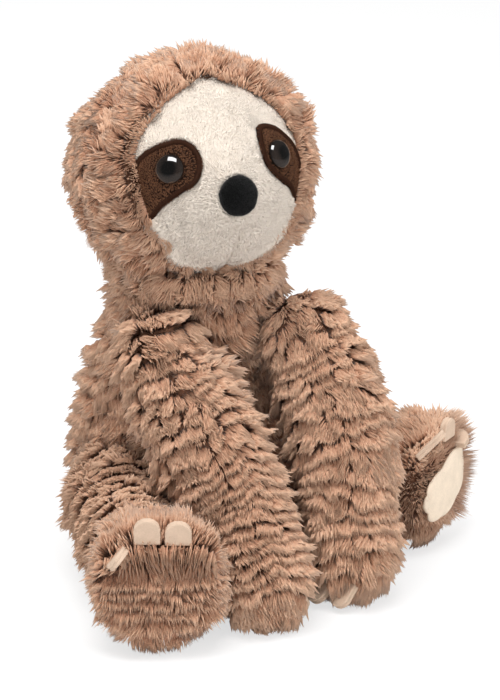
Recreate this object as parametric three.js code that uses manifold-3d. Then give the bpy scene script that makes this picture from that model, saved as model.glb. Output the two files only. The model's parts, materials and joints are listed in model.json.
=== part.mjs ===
// A plush sloth, seated, with its hands on the floor between its legs.
// Millimetres, +Z up. It faces -Y and its left side is towards +X.
// The origin is the middle of the flat seat, on the plane that the toy rests on.

import * as THREE from "three";
import { mergeVertices } from "three/addons/utils/BufferGeometryUtils.js";
import Module from "manifold-3d";

const wasm = await Module();
wasm.setup();

// Cloth, seams and gaps
const gap = 0.35; // between two pieces that lie against each other
const turningGap = 0.45; // between two pieces that turn against each other
const weld = 0.0005; // points of one surface closer than this are one point
const furCloth = 8; // thickness of the long-haired cloth with its pile
const faceCloth = 3; // thickness of the short-haired face cloth
const overrun = 6; // how far a cutter runs past what it cuts
const turningHole = 6; // radius of the hole that a limb is stuffed through

// Head, measured inside its cloth
const headX = -9.5;
const headY = -40;
const headHalfWidth = 50;
const headHalfDepth = 47;
const headHalfHeight = 45;
const muzzleRise = 7.5; // how far the muzzle stands out of the head's oval
const headTurned = -5; // degrees about Z in the resting pose
const headLeaned = -1.5; // degrees about Y in the resting pose
const muzzleSpread = 27; // degrees from its middle to where it fades
const muzzleDrop = 9; // degrees that its middle lies under the nose

// Face panel: places on the head in degrees across and up, from the bottom round to the top
const faceEdgeDegrees = [
  [0, -53], [20, -47], [36, -34], [43, -21], [46, -8], [50, 5],
  [54, 20], [51, 34], [43, 50], [25, 64], [12, 69], [0, 70],
];
const facePointCount = 22;
const faceEdgeWidth = 40; // half width of the panel's edge, which its gap is worked out on
const cutterNearShare = 0.3; // how near the head's middle a face cutter starts
const normalStep = 0.1; // between the directions that a slope of the face is read from

// Eye patches: the edge of each in degrees outwards and up
const leftPatchDegrees = [
  [23.5, 31], [30, 31], [37, 28], [42, 23], [46.5, 17], [49, 9], [49.5, 1], [48, -7],
  [44, -14], [36.5, -5], [29, 0.5], [23, 5.5], [19, 12], [18.5, 19], [20, 26],
];
const rightPatchDegrees = [
  [21, 26.5], [27.5, 28.4], [34, 27.3], [42, 24], [48, 19.5], [52, 13], [51.5, 4], [49, -6],
  [44, -15.5], [35.7, -6.2], [25.2, 1.8], [19.6, 5.1], [16.4, 9.8], [15.2, 16.2], [16.8, 22],
];
const patchPointCount = 16;
const patchThickness = 1;

// Eyes: a dome in front of the cloth, a stem through it and a washer behind it
const leftEyeAcross = 29; // degrees
const rightEyeAcross = 31.5;
const eyeUp = 14; // degrees
const eyeRadius = 7;
const eyeDome = 4.2;
const eyeRim = 0.8; // straight edge of the dome
const stemRadius = 1.8;
const stemEnd = 5.2; // how far the stem reaches inside the stuffing
const washerRadius = 7.2;
const washerThickness = 1.2;
const washerDepth = 1.9; // under the inside of the cloth

// Nose pad
const noseHalfWidth = 8.8;
const noseHalfHeight = 9.8;
const noseHalfDepth = 3.4;
const noseAside = 1.3; // from the middle of the muzzle

// Neck wad: a bowl of stuffing that the head rests in
const neckWadEdge = 0.75; // thickness at its rim, where it thins out
const neckSpread = 37; // degrees from its lowest point to its rim

// Body
const bodyRadius = 51.5; // greatest half width
const bodyHeight = 160; // from the seat to where its crown would close under the head
const headRise = 37; // from there to the head's middle
const headZ = bodyHeight + headRise;
const bodyUnder = 8; // how far its round bottom would reach under the seat
const bodyDepthShare = 0.92;
const bodyHalfDepth = bodyRadius * bodyDepthShare;
const bodyLeanForward = 36; // how far its top is in front of its seat
const bodyLeanAside = 7; // how far its top is to its right
const bodyHeightShares = [0.05, 0.14, 0.24, 0.345, 0.45, 0.565, 0.665, 0.75, 0.84, 0.92, 0.98];
const bodyRadiusShares = [0.89, 0.975, 1, 0.98, 0.945, 0.905, 0.86, 0.815, 0.775, 0.72, 0.5];
const bodyUnderShares = [0.75, 0.74, 0.806]; // radius at the seat, then radius and depth under it
const bodyForwardShares = [0, 0, 0, 0.02, 0.12, 0.3, 0.49, 0.67, 0.86, 1, 1];
const bodyAsideShares = [0, 0, 0, 0, 0.02, 0.12, 0.28, 0.46, 0.72, 1, 1];

// Bag of pellets in the bottom of the body
const pelletHalfWidth = 24;
const pelletHalfDepth = 18;
const pelletHalfHeight = 10;
const pelletY = 12;

// Arms: the shoulder is the ball that the arm swings on
const shoulderBall = 22.5;
const armRadius = 25.5;
const armRadiusShares = [0.86, 0.97, 1, 0.97, 0.9, 0.86];
const handRadius = 22;
const shoulderDrop = 44; // under the top of the body
const elbowShare = 0.681; // of the shoulder's height
const wristShare = 0.431;
const handClearance = 0.5; // over the floor
const shoulderZ = bodyHeight - shoulderDrop;
const elbowZ = shoulderZ * elbowShare;
const wristZ = shoulderZ * wristShare;
const handZ = handRadius + handClearance;
const rightShoulderX = -35;
const rightShoulderY = -58;
const rightElbowX = -25;
const rightElbowY = -84;
const rightWristX = -16;
const rightWristY = -102;
const rightHandX = -13.5;
const rightHandY = -120.5;
const leftShoulderX = 37;
const leftShoulderY = -62;
const leftElbowX = 43;
const leftElbowY = -86;
const leftWristX = 41;
const leftWristY = -98;
const leftHandX = 37.5;
const leftHandY = -107.5;
const armSwing = 70; // degrees that an arm lifts forwards
const swingCutCount = 2;

// Legs: the hip is the ball that the leg turns on
const hipBall = 28;
const legRadius = 27;
const legRadiusShares = [1.03, 1, 0.95, 0.9, 0.88, 0.55];
const hipInset = 15.5; // inside the body's widest
const hipX = bodyRadius - hipInset;
const hipY = -20;
const hipZ = 35;
const kneeZ = 33.5;
const rightKneeOut = 3.5; // knees and feet beside or in front of the body's widest
const rightKneeForward = 20.6;
const rightFootOut = 16.5;
const rightFootForward = 79.1;
const leftKneeOut = 16.5;
const leftFootOut = 50.5;
const rightKneeX = -bodyRadius - rightKneeOut;
const rightKneeY = -bodyHalfDepth - rightKneeForward;
const rightFootX = -bodyRadius - rightFootOut;
const rightFootY = -bodyHalfDepth - rightFootForward;
const leftKneeX = bodyRadius + leftKneeOut;
const leftKneeY = -38;
const leftFootX = bodyRadius + leftFootOut;
const leftFootY = -54;
const rightFootFacing = -24; // degrees from the front, towards the toy's right
const leftFootFacing = 37; // degrees from the front, towards the toy's left
const legOut = 35; // degrees that a leg turns outwards
const leftLegOut = 8;
const leftLegIn = 20;

// Feet
const footHalfWidth = 31;
const footHalfHeight = 33;
const footHalfLength = 27;
const soleForward = 17; // from the foot's middle to its flat sole
const soleEdgePower = 7; // how sharply the sole turns into the side

// Sole patch on the left foot
const solePatchLength = 49;
const solePatchWidth = 24;
const solePatchThickness = 1.2;
const solePatchTilt = 22; // degrees from level
const solePatchBack = 6; // how deep its cutter reaches behind the sole
const solePatchLobeShares = [0.94, 0.8, 1.02, 0.84, 1.06, 0.84, 1.02, 0.8];

// Claws: flat tabs of cloth with round ends
const footClawWidth = 11.4;
const footClawLength = 13; // outside the fur
const handClawWidth = 10.5;
const handClawLength = 9; // outside the fur
const handClawSpacing = 11.5;
const clawThickness = 3;
const clawRoot = 5; // inside the fur
const clawArcCount = 8;
const rightHandFacing = 130; // degrees from the front, towards the other hand
const leftHandFacing = 76;
const handClawFall = 38; // degrees under level, where a hand's claws leave the fur
const handClawDip = 50; // degrees under level that they point
const footClawForward = 15; // from the foot's middle, as the claws' asides and heights are
const rightClawAsides = [-18.4, -5, 8.4];
const rightClawHeights = [16, 21, 21];
const leftClawAsides = [-22, 0, 13];
const leftClawHeights = [25, 21, 18];
// Each claw's degrees above level, towards the side and rolled
const rightClawDegrees = [[12, 0, -50], [78, 0, 0], [78, 0, 0]];
const leftClawDegrees = [[41, 42, 19], [87, 0, 0], [25, 90, 0]];

// Facets round each form
const headFacetCount = 22;
const headRingCount = 14;
const bodyFacetCount = 20;
const limbFacetCount = 12;
const footFacetCount = 14;
const footRingCount = 8;
const ballFacetCount = 14;
const ballRingCount = 8;
const eyeFacetCount = 16;
const domeStepCount = 4; // along an eye's dome
const capStepCount = 3; // along a limb's round end
const lobeStepCount = 2; // between two lobes of the sole patch
const insideShare = 0.6; // facets round the inside of the cloth and round the stuffing

const furMaterial = new THREE.MeshStandardMaterial({ color: 0xa98069, roughness: 0.95, metalness: 0 });
const faceMaterial = new THREE.MeshStandardMaterial({ color: 0xeae2d4, roughness: 0.9, metalness: 0 });
const patchMaterial = new THREE.MeshStandardMaterial({ color: 0x6b4635, roughness: 0.75, metalness: 0 });
const eyeMaterial = new THREE.MeshStandardMaterial({ color: 0x120e0c, roughness: 0.08, metalness: 0 });
const noseMaterial = new THREE.MeshStandardMaterial({ color: 0x0d0d0d, roughness: 0.6, metalness: 0 });
const clawMaterial = new THREE.MeshStandardMaterial({ color: 0xe3cbac, roughness: 0.85, metalness: 0 });
const soleMaterial = new THREE.MeshStandardMaterial({ color: 0xd9cab3, roughness: 0.8, metalness: 0 });
const stuffingMaterial = new THREE.MeshStandardMaterial({ color: 0xf2f1ec, roughness: 1, metalness: 0 });
const washerMaterial = new THREE.MeshStandardMaterial({ color: 0xdcdcd8, roughness: 0.5, metalness: 0 });
const pelletMaterial = new THREE.MeshStandardMaterial({ color: 0xcfc9bd, roughness: 0.9, metalness: 0 });

const radians = THREE.MathUtils.degToRad;
const xAxis = new THREE.Vector3(1, 0, 0);
const yAxis = new THREE.Vector3(0, 1, 0);
const zAxis = new THREE.Vector3(0, 0, 1);

// A closed geometry as a solid that can be joined and cut.
function solidOf(geometry) {
  const bare = geometry.clone();
  bare.deleteAttribute("normal");
  bare.deleteAttribute("uv");
  const merged = mergeVertices(bare, weld);
  return new wasm.Manifold(
    new wasm.Mesh({
      numProp: 3,
      vertProperties: merged.attributes.position.array,
      triVerts: new Uint32Array(merged.index.array),
    }),
  );
}

// A solid as a named mesh of the finished toy.
function meshOf(name, solid, material) {
  const data = solid.getMesh();
  const geometry = new THREE.BufferGeometry();
  geometry.setAttribute("position", new THREE.BufferAttribute(data.vertProperties, 3));
  geometry.setIndex(new THREE.BufferAttribute(data.triVerts, 1));
  geometry.computeVertexNormals();
  const mesh = new THREE.Mesh(geometry, material);
  mesh.name = name;
  return mesh;
}

// Facets round and along a form: fewer where the form lies inside the cloth.
function facets(inside, around, along) {
  const share = inside ? insideShare : 1;
  return [2 * Math.round((around * share) / 2), 2 * Math.round((along * share) / 2)];
}

// A ball whose radius depends on the direction.
function roundForm(radiusOf, around, upright) {
  const geometry = new THREE.SphereGeometry(1, around, upright).rotateX(Math.PI / 2);
  const place = geometry.attributes.position;
  const direction = new THREE.Vector3();
  for (let i = 0; i < place.count; i += 1) {
    direction.fromBufferAttribute(place, i).normalize();
    direction.multiplyScalar(radiusOf(direction));
    place.setXYZ(i, direction.x, direction.y, direction.z);
  }
  return geometry;
}

// Distance from the middle of an oval to its surface in a direction.
function ovalRadius(direction, halfX, halfY, halfZ) {
  return 1 / Math.hypot(direction.x / halfX, direction.y / halfY, direction.z / halfZ);
}

// A profile of radius and length moved out by an offset along its own normals.
function offsetProfile(points, offset) {
  const last = points.length - 1;
  return points.map((point, i) => {
    const before = points[Math.max(i - 1, 0)];
    const after = points[Math.min(i + 1, last)];
    const along = new THREE.Vector2().subVectors(after, before).normalize();
    if (i === 0) {
      return new THREE.Vector2(0, point.y - offset);
    }
    if (i === last) {
      return new THREE.Vector2(0, point.y + offset);
    }
    return new THREE.Vector2(point.x + along.y * offset, point.y - along.x * offset);
  });
}

// Points on the head, given in degrees across and up, as places on a flat plane one unit in front.
function flatPlaces(angles) {
  return angles.map(([across, up]) => {
    const a = radians(across);
    const u = radians(up);
    return new THREE.Vector3(Math.tan(a), Math.tan(u) / Math.cos(a), 0);
  });
}

// A cutter that widens from the middle of the head through a closed edge on the face.
function faceCutter(edge, points, growth) {
  const reach = headHalfDepth + muzzleRise + furCloth + overrun;
  const middle = new THREE.Vector3();
  edge.forEach((place) => middle.addScaledVector(place, 1 / edge.length));
  const grown = edge.map((place) => place.clone().sub(middle).multiplyScalar(growth).add(middle));
  const ring = new THREE.CatmullRomCurve3(grown, true).getPoints(points).slice(0, points);
  const outline = new THREE.Shape(ring.map((place) => new THREE.Vector2(place.x * reach, place.y * reach)));
  const geometry = new THREE.ExtrudeGeometry(outline, { depth: reach, bevelEnabled: false });
  const place = geometry.attributes.position;
  for (let i = 0; i < place.count; i += 1) {
    const share = cutterNearShare + (1 - cutterNearShare) * (place.getZ(i) / reach);
    place.setXYZ(i, place.getX(i) * share, place.getY(i) * share, reach * share);
  }
  return solidOf(geometry.rotateX(Math.PI / 2));
}

function mirrored(angles) {
  return angles.map(([across, up]) => [-across, up]).reverse();
}

// Head forms, round the head's own middle
const muzzleAxis = new THREE.Vector3(0, -Math.cos(radians(muzzleDrop)), -Math.sin(radians(muzzleDrop)));

function headRadius(direction) {
  const oval = ovalRadius(direction, headHalfWidth, headHalfDepth, headHalfHeight);
  const away = direction.angleTo(muzzleAxis) / radians(muzzleSpread);
  return oval + muzzleRise * Math.exp(-away * away);
}

function headForm(offset) {
  return solidOf(roundForm((direction) => headRadius(direction) + offset, headFacetCount, headRingCount));
}

function ovalHeadForm(offset) {
  return solidOf(
    roundForm(
      (direction) => ovalRadius(direction, headHalfWidth, headHalfDepth, headHalfHeight) + offset,
      headFacetCount,
      headRingCount,
    ),
  );
}

const faceRing = [...faceEdgeDegrees, ...mirrored(faceEdgeDegrees).slice(1, -1)];
const faceEdge = flatPlaces(faceRing);
const faceGrowth = 1 + (2 * gap) / faceEdgeWidth;
const faceSolid = headForm(faceCloth);
const faceInside = headForm(gap);
const headInside = headForm(0);

const headFur = ovalHeadForm(furCloth)
  .subtract(faceInside)
  .subtract(faceCutter(faceEdge, facePointCount, faceGrowth));
let facePanel = faceSolid.subtract(faceInside).intersect(faceCutter(faceEdge, facePointCount, 1));
let headStuffing = headInside;

function headPoint(direction) {
  return direction.clone().normalize().multiplyScalar(headRadius(direction.clone().normalize()));
}

// The way that the inside of the face cloth faces in a direction from the head's middle
function faceNormal(direction) {
  const sideways = new THREE.Vector3().crossVectors(zAxis, direction).normalize();
  const upwards = new THREE.Vector3().crossVectors(direction, sideways);
  const middle = headPoint(direction);
  const beside = headPoint(direction.clone().addScaledVector(sideways, normalStep)).sub(middle);
  const above = headPoint(direction.clone().addScaledVector(upwards, normalStep)).sub(middle);
  return beside.cross(above).normalize();
}

// A turned profile set square on the face in a direction, at a height over the inside of the face cloth.
function onFace(geometry, direction, height) {
  const normal = faceNormal(direction);
  const turn = new THREE.Quaternion().setFromUnitVectors(yAxis, normal);
  const place = headPoint(direction).addScaledVector(normal, height);
  return geometry.clone().applyMatrix4(new THREE.Matrix4().compose(place, turn, new THREE.Vector3(1, 1, 1)));
}

function rod(radius, low, high, around) {
  const profile = [
    new THREE.Vector2(0, low),
    new THREE.Vector2(radius, low),
    new THREE.Vector2(radius, high),
    new THREE.Vector2(0, high),
  ];
  return new THREE.LatheGeometry(profile, around);
}

const headMeshes = [];
// From the inside of the cloth to the dome's flat back
const eyeBack = faceCloth + gap + patchThickness + gap;
const patchOutside = headForm(faceCloth + gap + patchThickness);
const patchInside = headForm(faceCloth + gap);
const faceLimit = faceCutter(faceEdge, facePointCount, 1 / faceGrowth);

for (const [side, eyeAcross, patchDegrees] of [
  ["left", leftEyeAcross, leftPatchDegrees],
  ["right", -rightEyeAcross, mirrored(rightPatchDegrees)],
]) {
  const across = radians(eyeAcross);
  const up = radians(eyeUp);
  const direction = new THREE.Vector3(
    Math.sin(across) * Math.cos(up),
    -Math.cos(across) * Math.cos(up),
    Math.sin(up),
  );
  const eyeProfile = [
    new THREE.Vector2(0, -eyeBack - stemEnd),
    new THREE.Vector2(stemRadius, -eyeBack - stemEnd),
    new THREE.Vector2(stemRadius, 0),
    new THREE.Vector2(eyeRadius, 0),
    new THREE.Vector2(eyeRadius, eyeRim),
  ];
  for (let i = 1; i <= domeStepCount; i += 1) {
    const angle = (i / domeStepCount) * (Math.PI / 2);
    const height = eyeRim + (eyeDome - eyeRim) * Math.sin(angle);
    eyeProfile.push(new THREE.Vector2(i === domeStepCount ? 0 : eyeRadius * Math.cos(angle), height));
  }
  const eye = onFace(new THREE.LatheGeometry(eyeProfile, eyeFacetCount), direction, eyeBack);

  const washerProfile = [
    new THREE.Vector2(stemRadius + gap, -washerDepth - washerThickness),
    new THREE.Vector2(washerRadius, -washerDepth - washerThickness),
    new THREE.Vector2(washerRadius, -washerDepth),
    new THREE.Vector2(stemRadius + gap, -washerDepth),
    new THREE.Vector2(stemRadius + gap, -washerDepth - washerThickness),
  ];
  const washer = onFace(new THREE.LatheGeometry(washerProfile, eyeFacetCount), direction, 0);

  const stemRod = rod(stemRadius + gap, -overrun, overrun + eyeBack, eyeFacetCount);
  const stemHole = solidOf(onFace(stemRod, direction, 0));
  const washerRod = rod(washerRadius + gap, -stemEnd - gap, overrun, eyeFacetCount);
  const washerRoom = solidOf(onFace(washerRod, direction, 0));
  facePanel = facePanel.subtract(stemHole);
  headStuffing = headStuffing.subtract(washerRoom);

  const patchEdge = flatPlaces(patchDegrees);
  const patch = patchOutside
    .subtract(patchInside)
    .intersect(faceCutter(patchEdge, patchPointCount, 1))
    .intersect(faceLimit)
    .subtract(stemHole);

  headMeshes.push(meshOf("eye_patch_" + side, patch, patchMaterial));
  headMeshes.push(meshOf("eye_" + side, solidOf(eye), eyeMaterial));
  headMeshes.push(meshOf("eye_washer_" + side, solidOf(washer), washerMaterial));
}

// Nose: an oval pad seated on the muzzle
const noseDirection = new THREE.Vector3(0, -1, 0);
const noseOutward = headRadius(noseDirection) + faceCloth;
const noseRadius = (d) => ovalRadius(d, noseHalfWidth, noseHalfDepth, noseHalfHeight);
const nosePad = solidOf(
  roundForm(noseRadius, eyeFacetCount, ballRingCount).translate(noseAside, -noseOutward, 0),
).subtract(headForm(faceCloth + gap));

headMeshes.push(meshOf("head_fur", headFur, furMaterial));
headMeshes.push(meshOf("face_panel", facePanel, faceMaterial));
headMeshes.push(meshOf("head_stuffing", headStuffing, stuffingMaterial));
headMeshes.push(meshOf("nose_pad", nosePad, noseMaterial));

const head = new THREE.Group();
head.position.set(headX, headY, headZ);
head.rotation.set(0, radians(headLeaned), radians(headTurned), "ZYX");
head.add(...headMeshes);

// A ball with its poles on the axis that it turns on, which is the X or the Z axis
function poledBall(geometry, centre, axis) {
  if (axis === xAxis) {
    geometry.rotateY(Math.PI / 2);
  }
  return solidOf(geometry.translate(centre.x, centre.y, centre.z));
}

function ball(centre, radius, axis, around, upright) {
  return poledBall(roundForm(() => radius, around, upright), centre, axis);
}

// The hollow that such a ball turns in: its flats face the ball's edges,
// so it is wider by as much as a flat falls short of an edge
function hollow(centre, radius, axis, around, upright) {
  const share = 1 / Math.cos(Math.PI / around);
  const geometry = roundForm(() => radius + turningGap, around, upright);
  return poledBall(geometry.rotateZ(Math.PI / around).scale(share, share, 1), centre, axis);
}

// Everything under a height, to cut a seat flat
function under(height) {
  const reach = 2 * bodyHeight;
  const block = new THREE.BoxGeometry(2 * reach, 2 * reach, reach).translate(0, 0, height - reach / 2);
  return solidOf(block);
}

// Neck wad: between the oval under the head and a round dish in the top of the body
const headMiddle = new THREE.Vector3(headX, headY, headZ);
const headUnderWidth = Math.max(headHalfWidth, headHalfDepth) + furCloth + turningGap;
const headUnderHeight = headHalfHeight + furCloth + turningGap;
const neckBowlRadius = headUnderWidth + neckWadEdge;
const headUnderForm = roundForm(
  (direction) => ovalRadius(direction, headUnderWidth, headUnderWidth, headUnderHeight),
  headFacetCount,
  headRingCount,
);
const headUnderShare = 1 / Math.cos(Math.PI / headFacetCount);
headUnderForm.rotateZ(Math.PI / headFacetCount).scale(headUnderShare, headUnderShare, 1);
const headUnder = poledBall(headUnderForm, headMiddle, zAxis);
const neckRim = headZ - neckBowlRadius * Math.cos(radians(neckSpread));
const neckWad = ball(headMiddle, neckBowlRadius, xAxis, headFacetCount, headRingCount)
  .intersect(under(neckRim))
  .subtract(headUnder);
const headDish = hollow(headMiddle, neckBowlRadius, xAxis, headFacetCount, headRingCount);

// Body: a turned profile bent forwards and aside along its height
function along(heights, shares, height) {
  if (height <= heights[0]) {
    return shares[0];
  }
  for (let i = 1; i < heights.length; i += 1) {
    if (height <= heights[i]) {
      const share = (height - heights[i - 1]) / (heights[i] - heights[i - 1]);
      return shares[i - 1] + (shares[i] - shares[i - 1]) * share;
    }
  }
  return shares[shares.length - 1];
}

const [seatShare, underRadiusShare, underDepthShare] = bodyUnderShares;
const bodyProfile = [
  new THREE.Vector2(0, -bodyUnder),
  new THREE.Vector2(bodyRadius * seatShare * underRadiusShare, -bodyUnder * underDepthShare),
  new THREE.Vector2(bodyRadius * seatShare, 0),
];
bodyHeightShares.forEach((share, i) => {
  bodyProfile.push(new THREE.Vector2(bodyRadius * bodyRadiusShares[i], bodyHeight * share));
});
bodyProfile.push(new THREE.Vector2(0, bodyHeight));

function bodyForm(offset, inside) {
  const [around] = facets(inside, bodyFacetCount, 0);
  const geometry = new THREE.LatheGeometry(offsetProfile(bodyProfile, offset), around).rotateX(Math.PI / 2);
  const place = geometry.attributes.position;
  for (let i = 0; i < place.count; i += 1) {
    const share = place.getZ(i) / bodyHeight;
    const forward = bodyLeanForward * along(bodyHeightShares, bodyForwardShares, share);
    const aside = bodyLeanAside * along(bodyHeightShares, bodyAsideShares, share);
    place.setXYZ(i, place.getX(i) - aside, place.getY(i) * bodyDepthShare - forward, place.getZ(i));
  }
  return solidOf(geometry);
}

const belowFloor = under(0);

const rightShoulder = new THREE.Vector3(rightShoulderX, rightShoulderY, shoulderZ);
const leftShoulder = new THREE.Vector3(leftShoulderX, leftShoulderY, shoulderZ);
const rightHip = new THREE.Vector3(-hipX, hipY, hipZ);
const leftHip = new THREE.Vector3(hipX, hipY, hipZ);

const sockets = [
  hollow(rightShoulder, shoulderBall, xAxis, ballFacetCount, ballRingCount),
  hollow(leftShoulder, shoulderBall, xAxis, ballFacetCount, ballRingCount),
  hollow(rightHip, hipBall, zAxis, ballFacetCount, ballRingCount),
  hollow(leftHip, hipBall, zAxis, ballFacetCount, ballRingCount),
  headDish,
];

const pelletZ = furCloth + gap + pelletHalfHeight;
function pelletForm(offset) {
  return solidOf(
    roundForm(
      (d) => ovalRadius(d, pelletHalfWidth, pelletHalfDepth, pelletHalfHeight) + offset,
      ballFacetCount,
      ballRingCount,
    ).translate(0, pelletY, pelletZ),
  );
}

let bodyFur = bodyForm(0, false)
  .subtract(belowFloor)
  .subtract(bodyForm(-furCloth, true).subtract(under(furCloth)));
let bodyStuffing = bodyForm(-furCloth - gap, true)
  .subtract(under(furCloth + gap))
  .subtract(pelletForm(gap));
for (const socket of sockets) {
  bodyFur = bodyFur.subtract(socket);
  bodyStuffing = bodyStuffing.subtract(socket);
}
const pelletBag = pelletForm(0);

// The ball that a limb turns on
function limbBall(centre, radius, axis, offset) {
  const [around, upright] = facets(offset < 0, ballFacetCount, ballRingCount);
  return ball(centre, radius + offset, axis, around, upright);
}

// A limb's tube: a turned profile with round ends, bent along the limb's middle line
function tubeForm(path, radii, offset, sideways) {
  const curve = new THREE.CatmullRomCurve3(path);
  const length = curve.getLength();
  const profile = [new THREE.Vector2(0, -radii[0])];
  for (let i = 1; i < capStepCount; i += 1) {
    const angle = (i / capStepCount) * (Math.PI / 2);
    profile.push(new THREE.Vector2(radii[0] * Math.sin(angle), -radii[0] * Math.cos(angle)));
  }
  radii.forEach((radius, i) => profile.push(new THREE.Vector2(radius, (length * i) / (radii.length - 1))));
  const end = radii[radii.length - 1];
  for (let i = 1; i < capStepCount; i += 1) {
    const angle = (i / capStepCount) * (Math.PI / 2);
    profile.push(new THREE.Vector2(end * Math.cos(angle), length + end * Math.sin(angle)));
  }
  profile.push(new THREE.Vector2(0, length + end));

  const [around] = facets(offset < 0, limbFacetCount, 0);
  const geometry = new THREE.LatheGeometry(offsetProfile(profile, offset), around);
  const place = geometry.attributes.position;
  const middle = new THREE.Vector3();
  const tangent = new THREE.Vector3();
  const first = new THREE.Vector3();
  const second = new THREE.Vector3();
  for (let i = 0; i < place.count; i += 1) {
    const way = place.getY(i);
    const share = THREE.MathUtils.clamp(way / length, 0, 1);
    curve.getPointAt(share, middle);
    curve.getTangentAt(share, tangent);
    middle.addScaledVector(tangent, way - share * length);
    first.copy(sideways).addScaledVector(tangent, -sideways.dot(tangent)).normalize();
    second.crossVectors(first, tangent);
    middle.addScaledVector(first, place.getX(i)).addScaledVector(second, place.getZ(i));
    place.setXYZ(i, middle.x, middle.y, middle.z);
  }
  return solidOf(geometry);
}

// The body as a limb meets it anywhere in the limb's turn, seen from the resting limb
function sweptBody(centre, axis, degrees, offset) {
  const form = bodyForm(turningGap - offset, offset < 0);
  let swept = form;
  for (const angle of degrees) {
    const turn = new THREE.Matrix4()
      .makeTranslation(centre.x, centre.y, centre.z)
      .multiply(new THREE.Matrix4().makeRotationAxis(axis, radians(-angle)))
      .multiply(new THREE.Matrix4().makeTranslation(-centre.x, -centre.y, -centre.z));
    swept = swept.add(form.transform(turn.toArray()));
  }
  return swept;
}

// A claw, its round end along +Y and its root under zero, grown by an offset for its slot
function clawForm({ matrix, width, length }, offset) {
  const half = width / 2 + offset;
  const straight = length - width / 2;
  const outline = new THREE.Shape();
  outline.moveTo(-half, -clawRoot - offset);
  outline.lineTo(half, -clawRoot - offset);
  outline.absarc(0, straight, half, 0, Math.PI, false);
  const thickness = clawThickness + 2 * offset;
  const geometry = new THREE.ExtrudeGeometry(outline, {
    depth: thickness,
    bevelEnabled: false,
    curveSegments: clawArcCount,
  }).translate(0, 0, -thickness / 2);
  return solidOf(geometry.applyMatrix4(matrix));
}

// Place and turn of a claw, from where it leaves the fur, the way that it points
// and the way that its flat side faces
function clawPlace(root, pointing, facing) {
  const y = pointing.clone().normalize();
  const z = facing.clone().addScaledVector(y, -facing.dot(y)).normalize();
  const x = new THREE.Vector3().crossVectors(y, z);
  return new THREE.Matrix4().makeBasis(x, y, z).setPosition(root);
}

function limbMeshes(name, form, hole, claws) {
  let skin = form(0).subtract(form(-furCloth)).subtract(hole);
  const meshes = [];
  claws.forEach((claw, i) => {
    skin = skin.subtract(clawForm(claw, gap));
    meshes.push(meshOf(name + "_claw_" + (i + 1), clawForm(claw, 0), clawMaterial));
  });
  meshes.push(meshOf(name + "_fur", skin, furMaterial));
  meshes.push(meshOf(name + "_stuffing", form(-furCloth - gap), stuffingMaterial));
  return meshes;
}

// A hole along a limb's line through the cloth of its ball, where the limb is stuffed and closed
function stuffingHole(centre, radius, towards) {
  const direction = new THREE.Vector3().subVectors(centre, towards).normalize();
  const geometry = rod(turningHole, radius - furCloth - overrun, radius + overrun, limbFacetCount);
  const turn = new THREE.Quaternion().setFromUnitVectors(yAxis, direction);
  geometry.applyMatrix4(new THREE.Matrix4().compose(centre, turn, new THREE.Vector3(1, 1, 1)));
  return solidOf(geometry);
}

// Arms
const swingAngles = Array.from({ length: swingCutCount }, (_, i) => (-armSwing * (i + 1)) / swingCutCount);

// Claws of a hand: a row along its lower side, which faces the other hand
function handClaws(hand, facing) {
  const a = radians(facing);
  const forward = new THREE.Vector3(Math.sin(a), -Math.cos(a), 0);
  const across = new THREE.Vector3(Math.cos(a), Math.sin(a), 0);
  const reach = handRadius * Math.cos(radians(handClawFall));
  const dip = radians(handClawDip);
  const pointing = forward.clone().multiplyScalar(Math.cos(dip)).addScaledVector(zAxis, -Math.sin(dip));
  return [-handClawSpacing, 0, handClawSpacing].map((aside) => {
    const root = hand
      .clone()
      .addScaledVector(across, aside)
      .addScaledVector(forward, Math.sqrt(reach * reach - aside * aside))
      .addScaledVector(zAxis, -handRadius * Math.sin(radians(handClawFall)));
    return { matrix: clawPlace(root, pointing, forward), width: handClawWidth, length: handClawLength };
  });
}

function armMeshes(name, path, handFacing) {
  const shoulder = path[0];
  const hand = path[path.length - 1];
  const radii = armRadiusShares.map((share) => armRadius * share);
  radii[radii.length - 1] = handRadius;
  const form = (offset) =>
    tubeForm(path, radii, offset, xAxis)
      .subtract(sweptBody(shoulder, xAxis, swingAngles, offset))
      .add(limbBall(shoulder, shoulderBall, xAxis, offset));
  return limbMeshes(name, form, stuffingHole(shoulder, shoulderBall, path[1]), handClaws(hand, handFacing));
}

const rightArmPath = [
  rightShoulder,
  new THREE.Vector3(rightElbowX, rightElbowY, elbowZ),
  new THREE.Vector3(rightWristX, rightWristY, wristZ),
  new THREE.Vector3(rightHandX, rightHandY, handZ),
];
const leftArmPath = [
  leftShoulder,
  new THREE.Vector3(leftElbowX, leftElbowY, elbowZ),
  new THREE.Vector3(leftWristX, leftWristY, wristZ),
  new THREE.Vector3(leftHandX, leftHandY, handZ),
];

// Legs and feet: a foot is an oval whose front is flattened to a sole
function footRadius(direction) {
  const oval = ovalRadius(direction, footHalfWidth, footHalfLength, footHalfHeight);
  const forward = Math.max(-direction.y, 0) / soleForward;
  return Math.pow(Math.pow(1 / oval, soleEdgePower) + Math.pow(forward, soleEdgePower), -1 / soleEdgePower);
}

function footForm(foot, facing, offset) {
  const [around, upright] = facets(offset < 0, footFacetCount, footRingCount);
  const geometry = roundForm((direction) => footRadius(direction) + offset, around, upright);
  return solidOf(geometry.rotateZ(radians(facing)).translate(foot.x, foot.y, foot.z));
}

function legForm(path, facing, angles, offset) {
  const hip = path[0];
  const radii = legRadiusShares.map((share) => legRadius * share);
  const foot = path[path.length - 1];
  return tubeForm(path, radii, offset, zAxis)
    .subtract(sweptBody(hip, zAxis, angles, offset))
    .add(limbBall(hip, hipBall, zAxis, offset))
    .add(footForm(foot, facing, offset))
    .subtract(under(-offset));
}

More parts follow.
